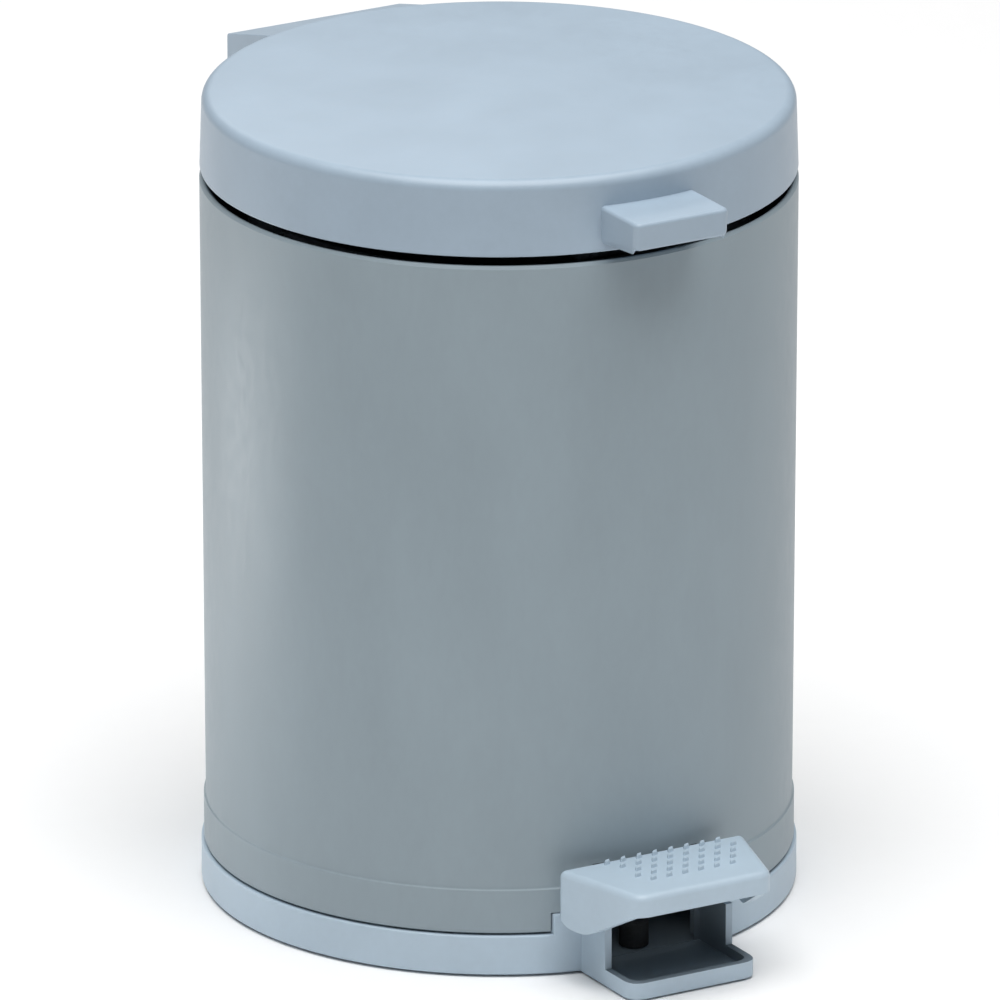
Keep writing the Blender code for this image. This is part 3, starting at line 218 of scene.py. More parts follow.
def eased(outline, radius, count=6):
    """A closed outline with its corners eased; radius is one value or one for each corner."""
    made = []
    radii = radius if isinstance(radius, (list, tuple)) else [radius] * len(outline)
    for i, (corner, size) in enumerate(zip(outline, radii)):
        here = Vector(corner)
        before = Vector(outline[i - 1]) - here
        after = Vector(outline[(i + 1) % len(outline)]) - here
        start = here + before.normalized() * min(size, before.length / 2)
        end = here + after.normalized() * min(size, after.length / 2)
        steps = count if size else 0
        for k in range(steps + 1):
            share = k / max(steps, 1)
            made.append(tuple(start.lerp(here, share).lerp(here.lerp(end, share), share)))
    return made


def soften(obj, width, segments=3, above=40):
    """Rounds the edges that turn by more than an angle in degrees."""
    bevel = obj.modifiers.new("round", "BEVEL")
    bevel.width = width
    bevel.segments = segments
    bevel.limit_method = "ANGLE"
    bevel.angle_limit = math.radians(above)
    return settle(obj)


def slab(name, outline, low, high, along="Z", edge=0.0):
    """An outline given a thickness along Z (its points are x, y) or along X (y, z)."""
    shape = bmesh.new()
    ends = []
    for level in (low, high):
        corners = [(u, v, level) if along == "Z" else (level, u, v) for u, v in outline]
        ends.append([shape.verts.new(corner) for corner in corners])
        shape.faces.new(ends[-1])
    near, far = ends
    for i in range(len(near)):
        k = (i + 1) % len(near)
        shape.faces.new((near[i], near[k], far[k], far[i]))
    made = from_bmesh(name, shape)
    return soften(made, edge) if edge else made


def block(name, low, high, edge=0.0):
    corners = [(low[0], low[1]), (high[0], low[1]), (high[0], high[1]), (low[0], high[1])]
    return slab(name, corners, low[2], high[2], edge=edge)


def combined(obj, operation, others):
    for other in others:
        modifier = obj.modifiers.new(other.name, "BOOLEAN")
        modifier.operation = operation
        modifier.solver = "EXACT"
        modifier.object = other
    settle(obj)
    for other in others:
        bpy.data.objects.remove(other)
    shape = bmesh.new()
    shape.from_mesh(obj.data)
    bmesh.ops.remove_doubles(shape, verts=shape.verts, dist=WELD)
    bmesh.ops.dissolve_degenerate(shape, edges=shape.edges, dist=WELD)
    shape.to_mesh(obj.data)
    shape.free()
    return obj


def join(obj, *others):
    return combined(obj, "UNION", others)


def cut(obj, *others):
    return combined(obj, "DIFFERENCE", others)


def keep(obj, *others):
    return combined(obj, "INTERSECT", others)


def around(angle, radius):
    """A place on a circle round the bin's axis."""
    return radius * math.cos(math.radians(angle)), radius * math.sin(math.radians(angle))


def fitted(obj, body, slot, finish, *nodes, sharp=32):
    """Gives a finished piece its material and shading, and puts it in the frame."""
    obj.data.materials.clear()
    obj.data.materials.append(finish)
    obj.data.shade_smooth()
    obj.data.set_sharp_from_angle(angle=math.radians(sharp))
    weighted = obj.modifiers.new("even shading", "WEIGHTED_NORMAL")
    weighted.keep_sharp = True
    settle(obj)
    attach(obj, body)
    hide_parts(*nodes)
    return obj


# Satin polypropylene, a paler blue grey than the body's.
pale_polypropylene = moulded_plastic("pale grey polypropylene", "#B3C5D3", 0.42)

base_low, base_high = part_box("base")
ring_radius, base_bottom = base_high.x, base_low.z
ring_inner = ring_radius - 2.5 * MM
floor_top = base_bottom + 2.5 * MM
ring_top, cowl_top, cowl_half = 14.6 * MM, 21.8 * MM, 33.5 * MM
past_ring, past_cowl = 120 * MM, 50 * MM       # how far cutters reach out and up
tray_half, tray_front, tray_wall = 24.5 * MM, -base_low.y, 2.5 * MM
pivot = axis_of["pedal_pivot"]
post_inner, post_outer = 8.6 * MM, 13.6 * MM
screw_circle, screw_angles = 78 * MM, (35, 145, 215, 325)
boss_top, counterbore_top = 7.0 * MM, 4.0 * MM
pad_circle, pad_angles, pad_radius = 82 * MM, (60, 120, 240, 300), 7 * MM


def tray_outline(inset):
    """Plan of the foot tray, or of the pocket inside its walls."""
    half, front = tray_half - inset, tray_front - inset
    rear = ring_inner - 2.9 * MM - 2 * inset
    corner = 6 * MM - inset / 2
    return eased([(-half, -rear), (-half, -front), (half, -front), (half, -rear)], (0, corner, corner, 0))


base = turned("base_moulding", [
    (0, floor_top),
    (ring_inner, floor_top),
    (ring_inner, ring_top - 0.3 * MM),
    (ring_inner + 0.3 * MM, ring_top),
    *arc((ring_radius - 0.7 * MM, ring_top - 0.7 * MM), 0.7 * MM, 90, 0),
    *arc((ring_radius - 1.0 * MM, base_bottom + 1.0 * MM), 1.0 * MM, 0, -90),
    (0, base_bottom),
])
cowl = turned("cowl", [
    (ring_inner + SHY, cowl_top),
    (ring_radius - SHY, cowl_top),
    (ring_radius - SHY, base_bottom + 2 * MM),
    (ring_inner + SHY, base_bottom + 2 * MM),
])
keep(cowl, block("cowl sector", (-cowl_half, -past_ring, 0), (cowl_half, -50 * MM, past_cowl)))
join(base, soften(cowl, 0.5 * MM))
pocket_floor = floor_top - 0.25 * MM
cut(base, block("pedal opening", (-tray_half + tray_wall - 0.2 * MM, -past_ring, pocket_floor),
                (tray_half - tray_wall + 0.2 * MM, -96 * MM, past_cowl)))
tray = slab("tray", tray_outline(0), base_bottom + SHY, floor_top + 3.2 * MM)
join(tray, block("tray sides", (-tray_half - 0.1 * MM, -ring_radius - 12.5 * MM, base_bottom + 0.5 * MM),
                 (tray_half + 0.1 * MM, -ring_inner + 1.5 * MM, cowl_top - 0.8 * MM)))
cut(tray, slab("tray pocket", tray_outline(tray_wall), pocket_floor - SHY, past_cowl))
join(base, soften(tray, 0.5 * MM))
for angle in screw_angles:
    place = around(angle, screw_circle)
    join(base, slab("boss", circle(place, 6 * MM), base_bottom + 1 * MM, boss_top, edge=0.3 * MM))
    cut(base, slab("counterbore", circle(place, 3.8 * MM), -1 * MM, counterbore_top),
        slab("screw hole", circle(place, 1.8 * MM), 0, boss_top + 2 * MM))
for side in (-1, 1):
    foot = base_bottom + 1 * MM
    outline = [(pivot.y - 7 * MM, foot), (pivot.y + 7 * MM, foot),
               *arc((pivot.y, pivot.z), 5.5 * MM, 0, 180, 24)]
    low, high = sorted((side * post_inner, side * post_outer))
    join(base, slab("pivot post", outline, low, high, "X", edge=0.4 * MM))
cut(base, slab("pin hole", circle((pivot.y, pivot.z), 2.6 * MM), -16 * MM, 16 * MM, "X"))
cut(base, *[slab("pad pocket", circle(around(angle, pad_circle), pad_radius + FIT), -1 * MM, 2.1 * MM)
            for angle in pad_angles])
fitted(base, "bin", "base_plastic", pale_polypropylene, "base")
# The floor and the inner walls round the pedal take a darker, duller plastic: painted shade
# under the pedal. The test for the walls has no rear limit, so it also takes a stretch of the ring at the
# back.
painted_shade_polypropylene = moulded_plastic("grey polypropylene with painted shade", "#7A8791", 0.62)
base.data.materials.append(painted_shade_polypropylene)
pocket_half, pocket_front = tray_half - tray_wall + 0.3 * MM, tray_front - tray_wall + 0.1 * MM
# Faces on the floor and round the pedal get the darker plastic, painted shade under the pedal.
for face in base.data.polygons:
    x, y, z = face.center
    on_floor = pocket_floor - 0.1 * MM < z < floor_top + 0.1 * MM
    in_pocket = abs(x) < pocket_half and y > -pocket_front and floor_top < z < cowl_top - 1.2 * MM
    if on_floor or in_pocket:
        face.material_index = 1

# ---- Anti-slip pads ----------------------------------------------------------------------
# Four discs of black rubber pressed into the pockets under the base. Each has a raised rim
# and a grip ring turned into its face.
def copies_tree():
    """Sets a copy of one item on each point, all turned by one angle, as real geometry."""
    tree, given, result = geometry_tree("copies on points", {
        "Item": "Object", "Turn": "Float", "Material": "Material"})
    item = node(tree, "GeometryNodeObjectInfo", inputs={"Object": given["Item"], "As Instance": True})
    turn = node(tree, "ShaderNodeCombineXYZ", inputs={"Z": given["Turn"]}).outputs[0]
    placed = node(tree, "GeometryNodeInstanceOnPoints", inputs={
        "Points": given["Geometry"], "Instance": item.outputs["Geometry"], "Rotation": turn})
    return coated_end(tree, placed.outputs[0], given, result)


COPIES = copies_tree()


def copies(name, item, points, finish, turn=0.0):
    made = grow(name, COPIES, points, [], Item=item, Turn=math.radians(turn), Material=finish)
    bpy.data.objects.remove(item)
    return made


def black_rubber():
    """Moulded rubber: dull, nearly black, with a dusty bloom in its pores."""
    made, tree, shader, place = blank_material("black rubber")
    pores = node(tree, "ShaderNodeTexNoise", inputs={
        "Vector": place, "Scale": 1 / (1.1 * MM), "Detail": 4.0})
    bloom = node(tree, "ShaderNodeMix", {"data_type": "RGBA"}, {
        0: pores.outputs["Fac"], 6: colour("#1D1F20"), 7: colour("#36393B")})
    tree.links.new(bloom.outputs[2], shader.inputs["Base Color"])
    bump = node(tree, "ShaderNodeBump", inputs={
        "Height": pores.outputs["Fac"], "Strength": 0.5, "Distance": 0.05 * MM})
    tree.links.new(bump.outputs[0], shader.inputs["Normal"])
    shader.inputs["Roughness"].default_value = 0.78
    shader.inputs["IOR"].default_value = 1.52
    return made


rubber = black_rubber()
_, pad_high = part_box("foot_pad_1")
pad = turned("pad", [
    (0, pad_high.z),
    (pad_radius - 0.3 * MM, pad_high.z),
    (pad_radius, pad_high.z - 0.3 * MM),
    *arc((pad_radius - 0.5 * MM, 0.5 * MM), 0.5 * MM, 0, -90),
    (4.6 * MM, 0), (4.3 * MM, 0.4 * MM), (3.2 * MM, 0.4 * MM), (2.9 * MM, 0), (0, 0),
], steps=64)
pads = copies("foot_pads", pad, [(*around(angle, pad_circle), 0) for angle in pad_angles], rubber)
fitted(pads, "bin", "rubber", rubber, *[f"foot_pad_{i}" for i in range(1, 5)])

# ---- Outer body --------------------------------------------------------------------------
# The slightly tapered shell, moulded in a deeper blue grey. A shallow band steps out at its
# foot, a spigot below the band seats in the base ring, and its floor stands above the lever.
# Posts under the floor take the base screws, and two lugs at the rear carry the lid's pin.
grey_polypropylene = moulded_plastic("blue grey polypropylene", "#8E9CA4", 0.44, streak=0.45)

_, body_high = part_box("outer_body")
hinge, eye = axis_of["lid_hinge"], axis_of["rod_hook"]
rim_radius = body_high.x
low_radius = rim_radius - 1.1 * MM
rim_top, wall = 249.3 * MM, 2.2 * MM
band_bottom, band_top = 15.4 * MM, 31.0 * MM
band_radius = low_radius + 0.7 * MM
spigot_radius, spigot_wall, spigot_bottom = ring_inner - 0.4 * MM, 2.3 * MM, floor_top + 1.7 * MM
body_floor_top, floor_low = 44 * MM, 42 * MM
rod_x, rod_top_y = 11.5 * MM, 93.5 * MM
screw_seat = counterbore_top - FIT


def shell_radius(height):
    """Outer radius of the tapered wall above the band."""
    return low_radius + (rim_radius - low_radius) * (height - band_top) / (rim_top - band_top)


shell = turned("body_shell", [
    (0, body_floor_top),
    *arc((shell_radius(body_floor_top) - wall - 2 * MM, body_floor_top + 2 * MM), 2 * MM, -90, 0),
    (rim_radius - wall, rim_top - 0.8 * MM),
    *arc((rim_radius - wall / 2, rim_top - 0.8 * MM), 0.8 * MM, 165, 15, 8),
    (rim_radius, rim_top - 1.1 * MM),
    (low_radius + 0.05 * MM, band_top + 0.3 * MM),
    (low_radius + 0.15 * MM, band_top),
    *arc((band_radius - 0.6 * MM, band_top - 0.8 * MM), 0.6 * MM, 75, 0),
    *arc((band_radius - 0.5 * MM, band_bottom + 0.5 * MM), 0.5 * MM, 0, -90),
    (spigot_radius, band_bottom),
    (spigot_radius, spigot_bottom + 0.3 * MM),
    (spigot_radius - 0.3 * MM, spigot_bottom),
    (spigot_radius - spigot_wall, spigot_bottom),
    (spigot_radius - spigot_wall, band_bottom),
    (low_radius - wall, band_bottom + 1 * MM),
    (low_radius - wall, floor_low),
    (0, floor_low),
])
cowl_room = turned("cowl room", [
    (ring_inner - FIT, cowl_top + FIT),
    (ring_radius + 5 * MM, cowl_top + FIT),
    (ring_radius + 5 * MM, band_bottom - 2 * MM),
    (ring_inner - FIT, band_bottom - 2 * MM),
])
room_half = cowl_half + 2 * FIT
keep(cowl_room, block("cowl sector", (-room_half, -past_ring, 0), (room_half, -50 * MM, past_cowl)))
cut(
    shell,
    cowl_room,
    block("lever opening", (-20 * MM, -115 * MM, 0), (20 * MM, -85.3 * MM, 38 * MM)),
    block("lever end room", (-15 * MM, eye.y - 3.5 * MM, 0),
          (15 * MM, ring_inner + 1 * MM, band_bottom - FIT)),
    block("rod slot", (rod_x - 4 * MM, eye.y - 3 * MM, floor_low - 2 * MM),
          (rod_x + 4 * MM, eye.y + 3 * MM, body_floor_top + 2 * MM)),
    block("crank notch", (-4.5 * MM, rim_radius - wall - 4 * MM, hinge.z - 18 * MM),
          (4.5 * MM, rim_radius + 4 * MM, rim_top + 10 * MM)),
)
for angle in screw_angles:
    place = around(angle, screw_circle)
    join(shell, slab("post", circle(place, 4.5 * MM), boss_top + FIT, floor_low + 1 * MM))
    cut(shell, slab("post hole", circle(place, 1.6 * MM), 0, counterbore_top + 15.3 * MM))
lug_in, lug_out = rim_radius - wall - 2.3 * MM, rim_radius - 2 * MM
lug_outline = [
    (lug_in, hinge.z - 18 * MM), (lug_out, hinge.z - 18 * MM),
    *arc((hinge.y, hinge.z), 5.5 * MM, -80, 130, 24),
    (lug_out, rim_top - FIT), (lug_in, rim_top - FIT),
]
for side in (-1, 1):
    low, high = sorted((side * 20 * MM, side * 26 * MM))
    join(shell, slab("lug", lug_outline, low, high, "X", edge=0.4 * MM))
cut(shell, slab("lug hole", circle((hinge.y, hinge.z), 2.1 * MM), -27 * MM, 27 * MM, "X"))
fitted(shell, "bin", "body_plastic", grey_polypropylene, "outer_body")

# ---- Base screws -------------------------------------------------------------------------
# Four thread-forming screws in zinc-plated steel, driven up through the base's bosses into
# the body's posts. Each has a pan head with a cross recess.
def zinc_plate():
    """Bright zinc on pressed steel: a soft metallic sheen, faintly blotched where it grew."""
    made, tree, shader, place = blank_material("zinc-plated steel")
    bloom = node(tree, "ShaderNodeTexNoise", inputs={"Vector": place, "Scale": 1 / (5 * MM), "Detail": 4.0})
    blend = node(tree, "ShaderNodeMix", {"data_type": "RGBA"}, {
        0: bloom.outputs["Fac"], 6: colour("#A9ACAE"), 7: colour("#CDCECC")})
    tree.links.new(blend.outputs[2], shader.inputs["Base Color"])
    gloss = node(tree, "ShaderNodeMapRange", inputs={
        "Value": bloom.outputs["Fac"], "To Min": 0.24, "To Max": 0.42})
    tree.links.new(gloss.outputs[0], shader.inputs["Roughness"])
    shader.inputs["Metallic"].default_value = 1.0
    return made


zinc = zinc_plate()


def pan_screw(length):
    """A pan-head screw whose head hangs below Z = 0, with a rolled thread above it."""
    radius, root, pitch = 1.5 * MM, 1.15 * MM, 0.65 * MM
    head, head_radius = 1.7 * MM, 3.3 * MM
    turns = int((length - 1.5 * MM) / pitch)
    thread = []
    for i in range(turns, 0, -1):
        thread += [(root, i * pitch + 0.5 * pitch), (radius, i * pitch + 0.15 * pitch),
                   (radius, i * pitch - 0.1 * pitch)]
    made = turned("screw", [
        (0, length), (0.7 * MM, length), *thread, (radius, 0), (head_radius - 0.2 * MM, 0),
        (head_radius, -0.2 * MM), (head_radius, -0.7 * MM),
        *arc((head_radius - 1.2 * MM, -0.5 * MM), 1.2 * MM, -10, -80, 5), (0, -head),
    ], steps=32)
    return cut(made, *[block("cross recess", (-half_x, -half_y, -2 * head), (half_x, half_y, -0.55 * head))
                       for half_x, half_y in ((1.7 * MM, 0.4 * MM), (0.4 * MM, 1.7 * MM))])


base_screw_length = 13.3 * MM
base_screws = copies("base_screws", pan_screw(base_screw_length),
                     [(*around(angle, screw_circle), screw_seat) for angle in screw_angles], zinc)
fitted(base_screws, "bin", "zinc_plated_steel", zinc, *[f"base_screw_{i}" for i in range(1, 5)])

# ---- Pivot pin, spacers and clips --------------------------------------------------------
# A plain steel pin in the base's two posts carries the lever between two acetal spacers.
# A sprung clip in a groove at each end keeps it in.
def natural_acetal():
    """Unpigmented acetal: waxy, off-white, with a low even sheen."""
    made, tree, shader, place = blank_material("natural acetal")
    cloud = node(tree, "ShaderNodeTexNoise", inputs={"Vector": place, "Scale": 1 / (7 * MM), "Detail": 2.0})
    blend = node(tree, "ShaderNodeMix", {"data_type": "RGBA"}, {
        0: cloud.outputs["Fac"], 6: colour("#C4C5C2"), 7: colour("#DAD9D4")})
    tree.links.new(blend.outputs[2], shader.inputs["Base Color"])
    shader.inputs["Roughness"].default_value = 0.38
    shader.inputs["IOR"].default_value = 1.48
    return made


acetal = natural_acetal()


def laid(obj, y, z):
    """Lays a piece turned round Z along X, on an axis at y and z."""
    obj.data.transform(Matrix.Translation((0, y, z)) @ Matrix.Rotation(math.radians(90), 4, "Y"))
    return obj


def washer(name, radius, hole, low, high, edge=0.25 * MM, steps=64):
    """A ring round Z with its outer and inner corners broken."""
    return turned(name, [
        (hole, low + edge), (hole + edge, low), (radius - edge, low), (radius, low + edge),
        (radius, high - edge), (radius - edge, high), (hole + edge, high), (hole, high - edge),
    ], steps=steps)


_, pin_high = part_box("pivot_pin")
pin_radius, groove, clip_at = 2.5 * MM, 0.5 * MM, post_outer + FIT
half_pin = [
    (0, pin_high.x), (pin_radius - 0.4 * MM, pin_high.x), (pin_radius, pin_high.x - 0.4 * MM),
    (pin_radius, clip_at + 1.2 * MM), (pin_radius - groove, clip_at + 1.2 * MM),
    (pin_radius - groove, clip_at), (pin_radius, clip_at),
]
pivot_pin = turned("pivot_pin_bar", half_pin + [(r, -z) for r, z in reversed(half_pin)], steps=48)
fitted(laid(pivot_pin, pivot.y, pivot.z), "bin", "zinc_plated_steel", zinc, "pivot_pin")
for side, name in ((-1, "left"), (1, "right")):
    low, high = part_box(f"pivot_spacer_{name}")
    spacer = washer(f"spacer_{name}", 4.5 * MM, 2.6 * MM, low.x, high.x)
    fitted(laid(spacer, pivot.y, pivot.z), "bin", "bush_plastic", acetal, f"pivot_spacer_{name}")
    low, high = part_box(f"pivot_clip_{name}")
    clip = washer(f"clip_{name}", 5.0 * MM, 2.1 * MM, low.x, high.x, edge=0.15 * MM)
    middle = (low.x + high.x) / 2
    cut(clip, block("clip mouth", (-1.6 * MM, -8 * MM, middle - 2 * MM), (1.6 * MM, 0, middle + 2 * MM)),
        *[slab("clip relief", circle(around(angle, 3.0 * MM), 0.9 * MM, 20),
               middle - 2 * MM, middle + 2 * MM) for angle in (30, 150)])
    fitted(laid(clip, pivot.y, pivot.z), "bin", "zinc_plated_steel", zinc, f"pivot_clip_{name}")

# ---- Lever stop pad ----------------------------------------------------------------------
# A rubber block glued to the base's floor, on which the lever lands when the pedal is down.
stop_low, stop_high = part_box("lever_stop_pad")
stop_radius = stop_high.x
stop_pad = turned("stop_block", [
    (0, stop_high.z), (stop_radius - 0.6 * MM, stop_high.z), (stop_radius, stop_high.z - 0.6 * MM),
    (stop_radius, stop_low.z + 0.3 * MM), (stop_radius - 0.3 * MM, stop_low.z), (0, stop_low.z),
], steps=64)
stop_pad.data.transform(Matrix.Translation((0, (stop_low.y + stop_high.y) / 2, 0)))
fitted(stop_pad, "bin", "rubber", rubber, "lever_stop_pad")

# ---- Pedal lever -------------------------------------------------------------------------
# A channel pressed from 1.6 mm steel, open below and zinc plated. It runs from the tread,
# over the pivot pin, back to the eye that holds the push rod.
lever_half, sheet = 6 * MM, 1.6 * MM
lever_top, lever_depth, lever_front = 33.7 * MM, 7.2 * MM, 126 * MM
eye_radius, pivot_rise = 3.5 * MM, 4.5 * MM


def lever_line(drop):
    """The lever's top from front to rear, lowered by drop."""
    return [
        (-lever_front, lever_top - drop),
        (-low_radius, lever_top - drop),
        (pivot.y - 14 * MM, pivot.z + pivot_rise - drop),
        (pivot.y + 14 * MM, pivot.z + pivot_rise - drop),
        (eye.y - 20 * MM, eye.z + eye_radius + 1 * MM - drop),
        (eye.y, eye.z + eye_radius - drop),
    ]


depths = (2.4 * MM, lever_depth, 2 * pivot_rise, 2 * pivot_rise, 2 * eye_radius)
lever_low = [(y, z - depth) for (y, z), depth in zip(lever_line(0), depths)]
lever_low.insert(1, (-lever_front + 9 * MM, lever_top - lever_depth))
lever = slab("lever_channel", [
    *lever_line(0)[:-1], *arc((eye.y, eye.z), eye_radius, 90, -90, 16), *lever_low[::-1],
], -lever_half, lever_half, "X", edge=0.5 * MM)
inside = lever_line(sheet)
cut(
    lever,
    slab("channel room", [
        (inside[0][0] - 10 * MM, inside[0][1]), *inside[1:], (inside[-1][0] + 10 * MM, inside[-1][1]),
        (inside[-1][0] + 10 * MM, eye.z - 20 * MM), (inside[0][0] - 10 * MM, eye.z - 20 * MM),
    ], sheet - lever_half, lever_half - sheet, "X"),
    slab("pivot hole", circle((pivot.y, pivot.z), 2.6 * MM), -8 * MM, 8 * MM, "X"),
    slab("rod eye", circle((eye.y, eye.z), 1.7 * MM), -8 * MM, 8 * MM, "X"),
)
pedal_low, pedal_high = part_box("pedal")
tread_screws = [pedal_high.y - back for back in (7.4 * MM, 20.4 * MM)]
cut(lever, *[slab("tread screw hole", circle((0, y), 1.7 * MM), lever_top - 4 * MM, lever_top + 2 * MM)
             for y in tread_screws])
fitted(lever, "pedal", "zinc_plated_steel", zinc, "pedal_lever")

# ---- Pedal -------------------------------------------------------------------------------
# A tread cap moulded in the base's pale plastic: wide at the body, narrow at the toe, with
# two deep cheeks and a shallow front lip. Low studs in staggered rows stop a shoe slipping.
tread_top, skin, tread_round = 40 * MM, 2.8 * MM, 2.4 * MM
tread_rear, tread_front = -pedal_high.y, -pedal_low.y
rear_half, front_half, toe_corner = pedal_high.x, 25.6 * MM, 4.5 * MM
cheek_low, cheek_rear, cheek_front = 20 * MM, 24 * MM, tread_rear + 13.4 * MM
front_lip = 32.4 * MM


def tread_plan(inset, rear):
    """Plan of the tread, or of the hollow under its skin."""
    half_rear, half_front = rear_half - inset, front_half - inset
    front = tread_front - inset
    toe = toe_corner - inset / 2
    return eased([(-half_rear, -rear), (-half_front, -front), (half_front, -front), (half_rear, -rear)],
                 (0, toe, toe, 0), 8)


tread = slab("tread_cap", tread_plan(0, tread_rear), cheek_low - 6 * MM, tread_top)
soften(tread, tread_round, segments=6)
below, beside = cheek_low - 8 * MM, rear_half + 10 * MM
cut(
    tread,
    slab("cheek line", eased([
        (-tread_rear + 2 * MM, below), (-tread_rear + 2 * MM, cheek_rear),
        (-tread_rear - 0.2 * MM, cheek_rear),
        (-tread_rear - 3.5 * MM, cheek_low + 0.6 * MM), (-cheek_front + 4 * MM, cheek_low),
        (-cheek_front, cheek_low + 0.4 * MM), (-tread_front + 2 * MM, front_lip),
        (-tread_front - 2 * MM, front_lip), (-tread_front - 2 * MM, below),
    ], (0, 0, 0.3 * MM, 3 * MM, 3 * MM, 3 * MM, 3 * MM, 0, 0), 6), -beside, beside, "X"),
    slab("tread hollow", tread_plan(skin, tread_rear - 4 * MM), 0, tread_top - skin),
)
for y in tread_screws:
    join(tread, slab("tread boss", circle((0, y), 3.6 * MM), lever_top + FIT, tread_top - skin / 2))
    cut(tread, slab("tread screw hole", circle((0, y), 1.6 * MM), lever_top - 2 * MM, tread_top - skin / 2))
for side in (-1, 1):
    low, high = sorted((side * (lever_half + 2 * FIT), side * (lever_half + 2 * FIT + sheet)))
    join(tread, block("tread rib", (low, -tread_front + 1.5 * MM, lever_top - 0.8 * MM),
                      (high, -tread_rear - 2 * MM, tread_top - skin / 2)))

stud_pitch_x, stud_pitch_y, stud_rows, stud_rise = 6.1 * MM, 5.0 * MM, 5, 1.1 * MM
first_row, left_border, right_border = tread_rear + 3.0 * MM, 14 * MM, 5.5 * MM
stud_low = tread_top - 0.6 * MM
stud_plan = eased([(-2.7 * MM, 0), (0, -1.5 * MM), (2.7 * MM, 0), (0, 1.5 * MM)], 0.7 * MM, 4)
stud = slab("stud", stud_plan, stud_low, tread_top + stud_rise)
for corner in stud.data.vertices:
    if corner.co.z > tread_top:
        corner.co.x *= 0.7
        corner.co.y *= 0.5
soften(stud, 0.3 * MM, segments=2)
stud_places = []
for row in range(stud_rows):
    front = first_row + stud_pitch_y * row
    half = rear_half + (front_half - rear_half) * (front - tread_rear) / (tread_front - tread_rear)
    shift = stud_pitch_x / 2 if row % 2 else 0
    first = math.ceil((left_border - half - shift) / stud_pitch_x)
    last = math.floor((half - right_border - shift) / stud_pitch_x)
    stud_places += [(shift + stud_pitch_x * i, -front, 0) for i in range(first, last + 1)]
join(tread, copies("studs", stud, stud_places, pale_polypropylene, turn=40))
fitted(tread, "pedal", "base_plastic", pale_polypropylene, "pedal", sharp=40)

# ---- Pedal screws ------------------------------------------------------------------------
# Two shorter screws of the same kind, driven from inside the channel into the tread's bosses.
tread_seat = lever_top - sheet - FIT
pedal_screws = copies("pedal_screws", pan_screw(tread_top - skin - tread_seat),
                      [(0, y, tread_seat) for y in tread_screws], zinc)
fitted(pedal_screws, "pedal", "zinc_plated_steel", zinc, "pedal_screw_rear", "pedal_screw_front")

# ---- Push rod, its caps and its guide ----------------------------------------------------
# Steel wire of 3 mm with a hook at each end, zinc plated after bending. It stands in the
# lever's eye, jogs out to the body's wall and hooks into the lid's crank. Acetal caps are
# pushed on its ends, and an acetal staple on the wall keeps it upright.
def wire_tree():
    """A round wire along a chain of points, bent to a radius at each of them."""
    tree, given, result = geometry_tree("bent wire", {
        "Radius": "Float", "Bend": "Float", "Sides": "Int", "Material": "Material"})
    chain = node(tree, "GeometryNodeMeshToCurve", inputs={"Mesh": given["Geometry"]})
    bent = node(tree, "GeometryNodeFilletCurve", {"mode": "POLY"}, {
        "Curve": chain.outputs["Curve"], "Count": 8, "Radius": given["Bend"], "Limit Radius": True})
    section = node(tree, "GeometryNodeCurvePrimitiveCircle", inputs={
        "Resolution": given["Sides"], "Radius": given["Radius"]})
    swept = node(tree, "GeometryNodeCurveToMesh", inputs={
        "Curve": bent.outputs["Curve"], "Profile Curve": section.outputs["Curve"], "Fill Caps": True})
    closed = node(tree, "GeometryNodeMergeByDistance", inputs={
        "Geometry": swept.outputs["Mesh"], "Distance": 0.01 * MM})
    return coated_end(tree, closed.outputs[0], given, result)


WIRE = wire_tree()


def wire(name, points, radius, bend, finish):
    return grow(name, WIRE, points, [(i, i + 1) for i in range(len(points) - 1)],
                Radius=radius, Bend=bend, Sides=24, Material=finish)


rod_low, rod_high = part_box("push_rod")
rod_radius = 1.5 * MM
rod_top_z = rod_high.z - rod_radius
rod = wire("rod_wire", [
    (rod_low.x, eye.y, eye.z), (rod_x, eye.y, eye.z), (rod_x, eye.y, 60 * MM), (rod_x, rod_top_y, 76 * MM),
    (rod_x, rod_top_y, rod_top_z), (-7.0 * MM, rod_top_y, rod_top_z),
], rod_radius, 4 * MM, zinc)
fitted(rod, "push_rod", "zinc_plated_steel", zinc, "push_rod")
for name, y, z in (("lower", eye.y, eye.z), ("upper", rod_top_y, rod_top_z)):
    low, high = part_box(f"rod_cap_{name}")
    cap = washer(f"cap_{name}", 2.8 * MM, 1.6 * MM, low.x, high.x, edge=0.4 * MM, steps=48)
    fitted(laid(cap, y, z), "push_rod", "bush_plastic", acetal, f"rod_cap_{name}")
guide_low, guide_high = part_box("rod_guide")
guide = block("guide_staple", guide_low, guide_high, edge=0.7 * MM)
cut(guide, block("guide room", (rod_x - 2.1 * MM, rod_top_y - 2.1 * MM, guide_low.z - 1 * MM),
                 (rod_x + 2.1 * MM, guide_high.y + 1 * MM, guide_high.z + 1 * MM)))
fitted(guide, "bin", "bush_plastic", acetal, "rod_guide")

# ---- Rim buffers -------------------------------------------------------------------------
# Two black rubber saddles pressed over the body's rim, so that the lid shuts quietly.
for side, angle in (("left", 130), ("right", 50)):
    inner = rim_radius - wall - 2.0 * MM
    low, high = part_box(f"rim_buffer_{side}")
    saddle = block(f"saddle_{side}", (inner, -5 * MM, rim_top + FIT),
                   (rim_radius - 0.4 * MM, 5 * MM, high.z))
    join(saddle, block("saddle leg", (inner + SHY, -5 * MM + SHY, low.z),
                       (inner + 1.6 * MM, 5 * MM - SHY, rim_top + 1 * MM)))
    soften(saddle, 0.4 * MM)
    saddle.data.transform(Matrix.Rotation(math.radians(angle), 4, "Z"))
    fitted(saddle, "bin", "rubber", rubber, f"rim_buffer_{side}")

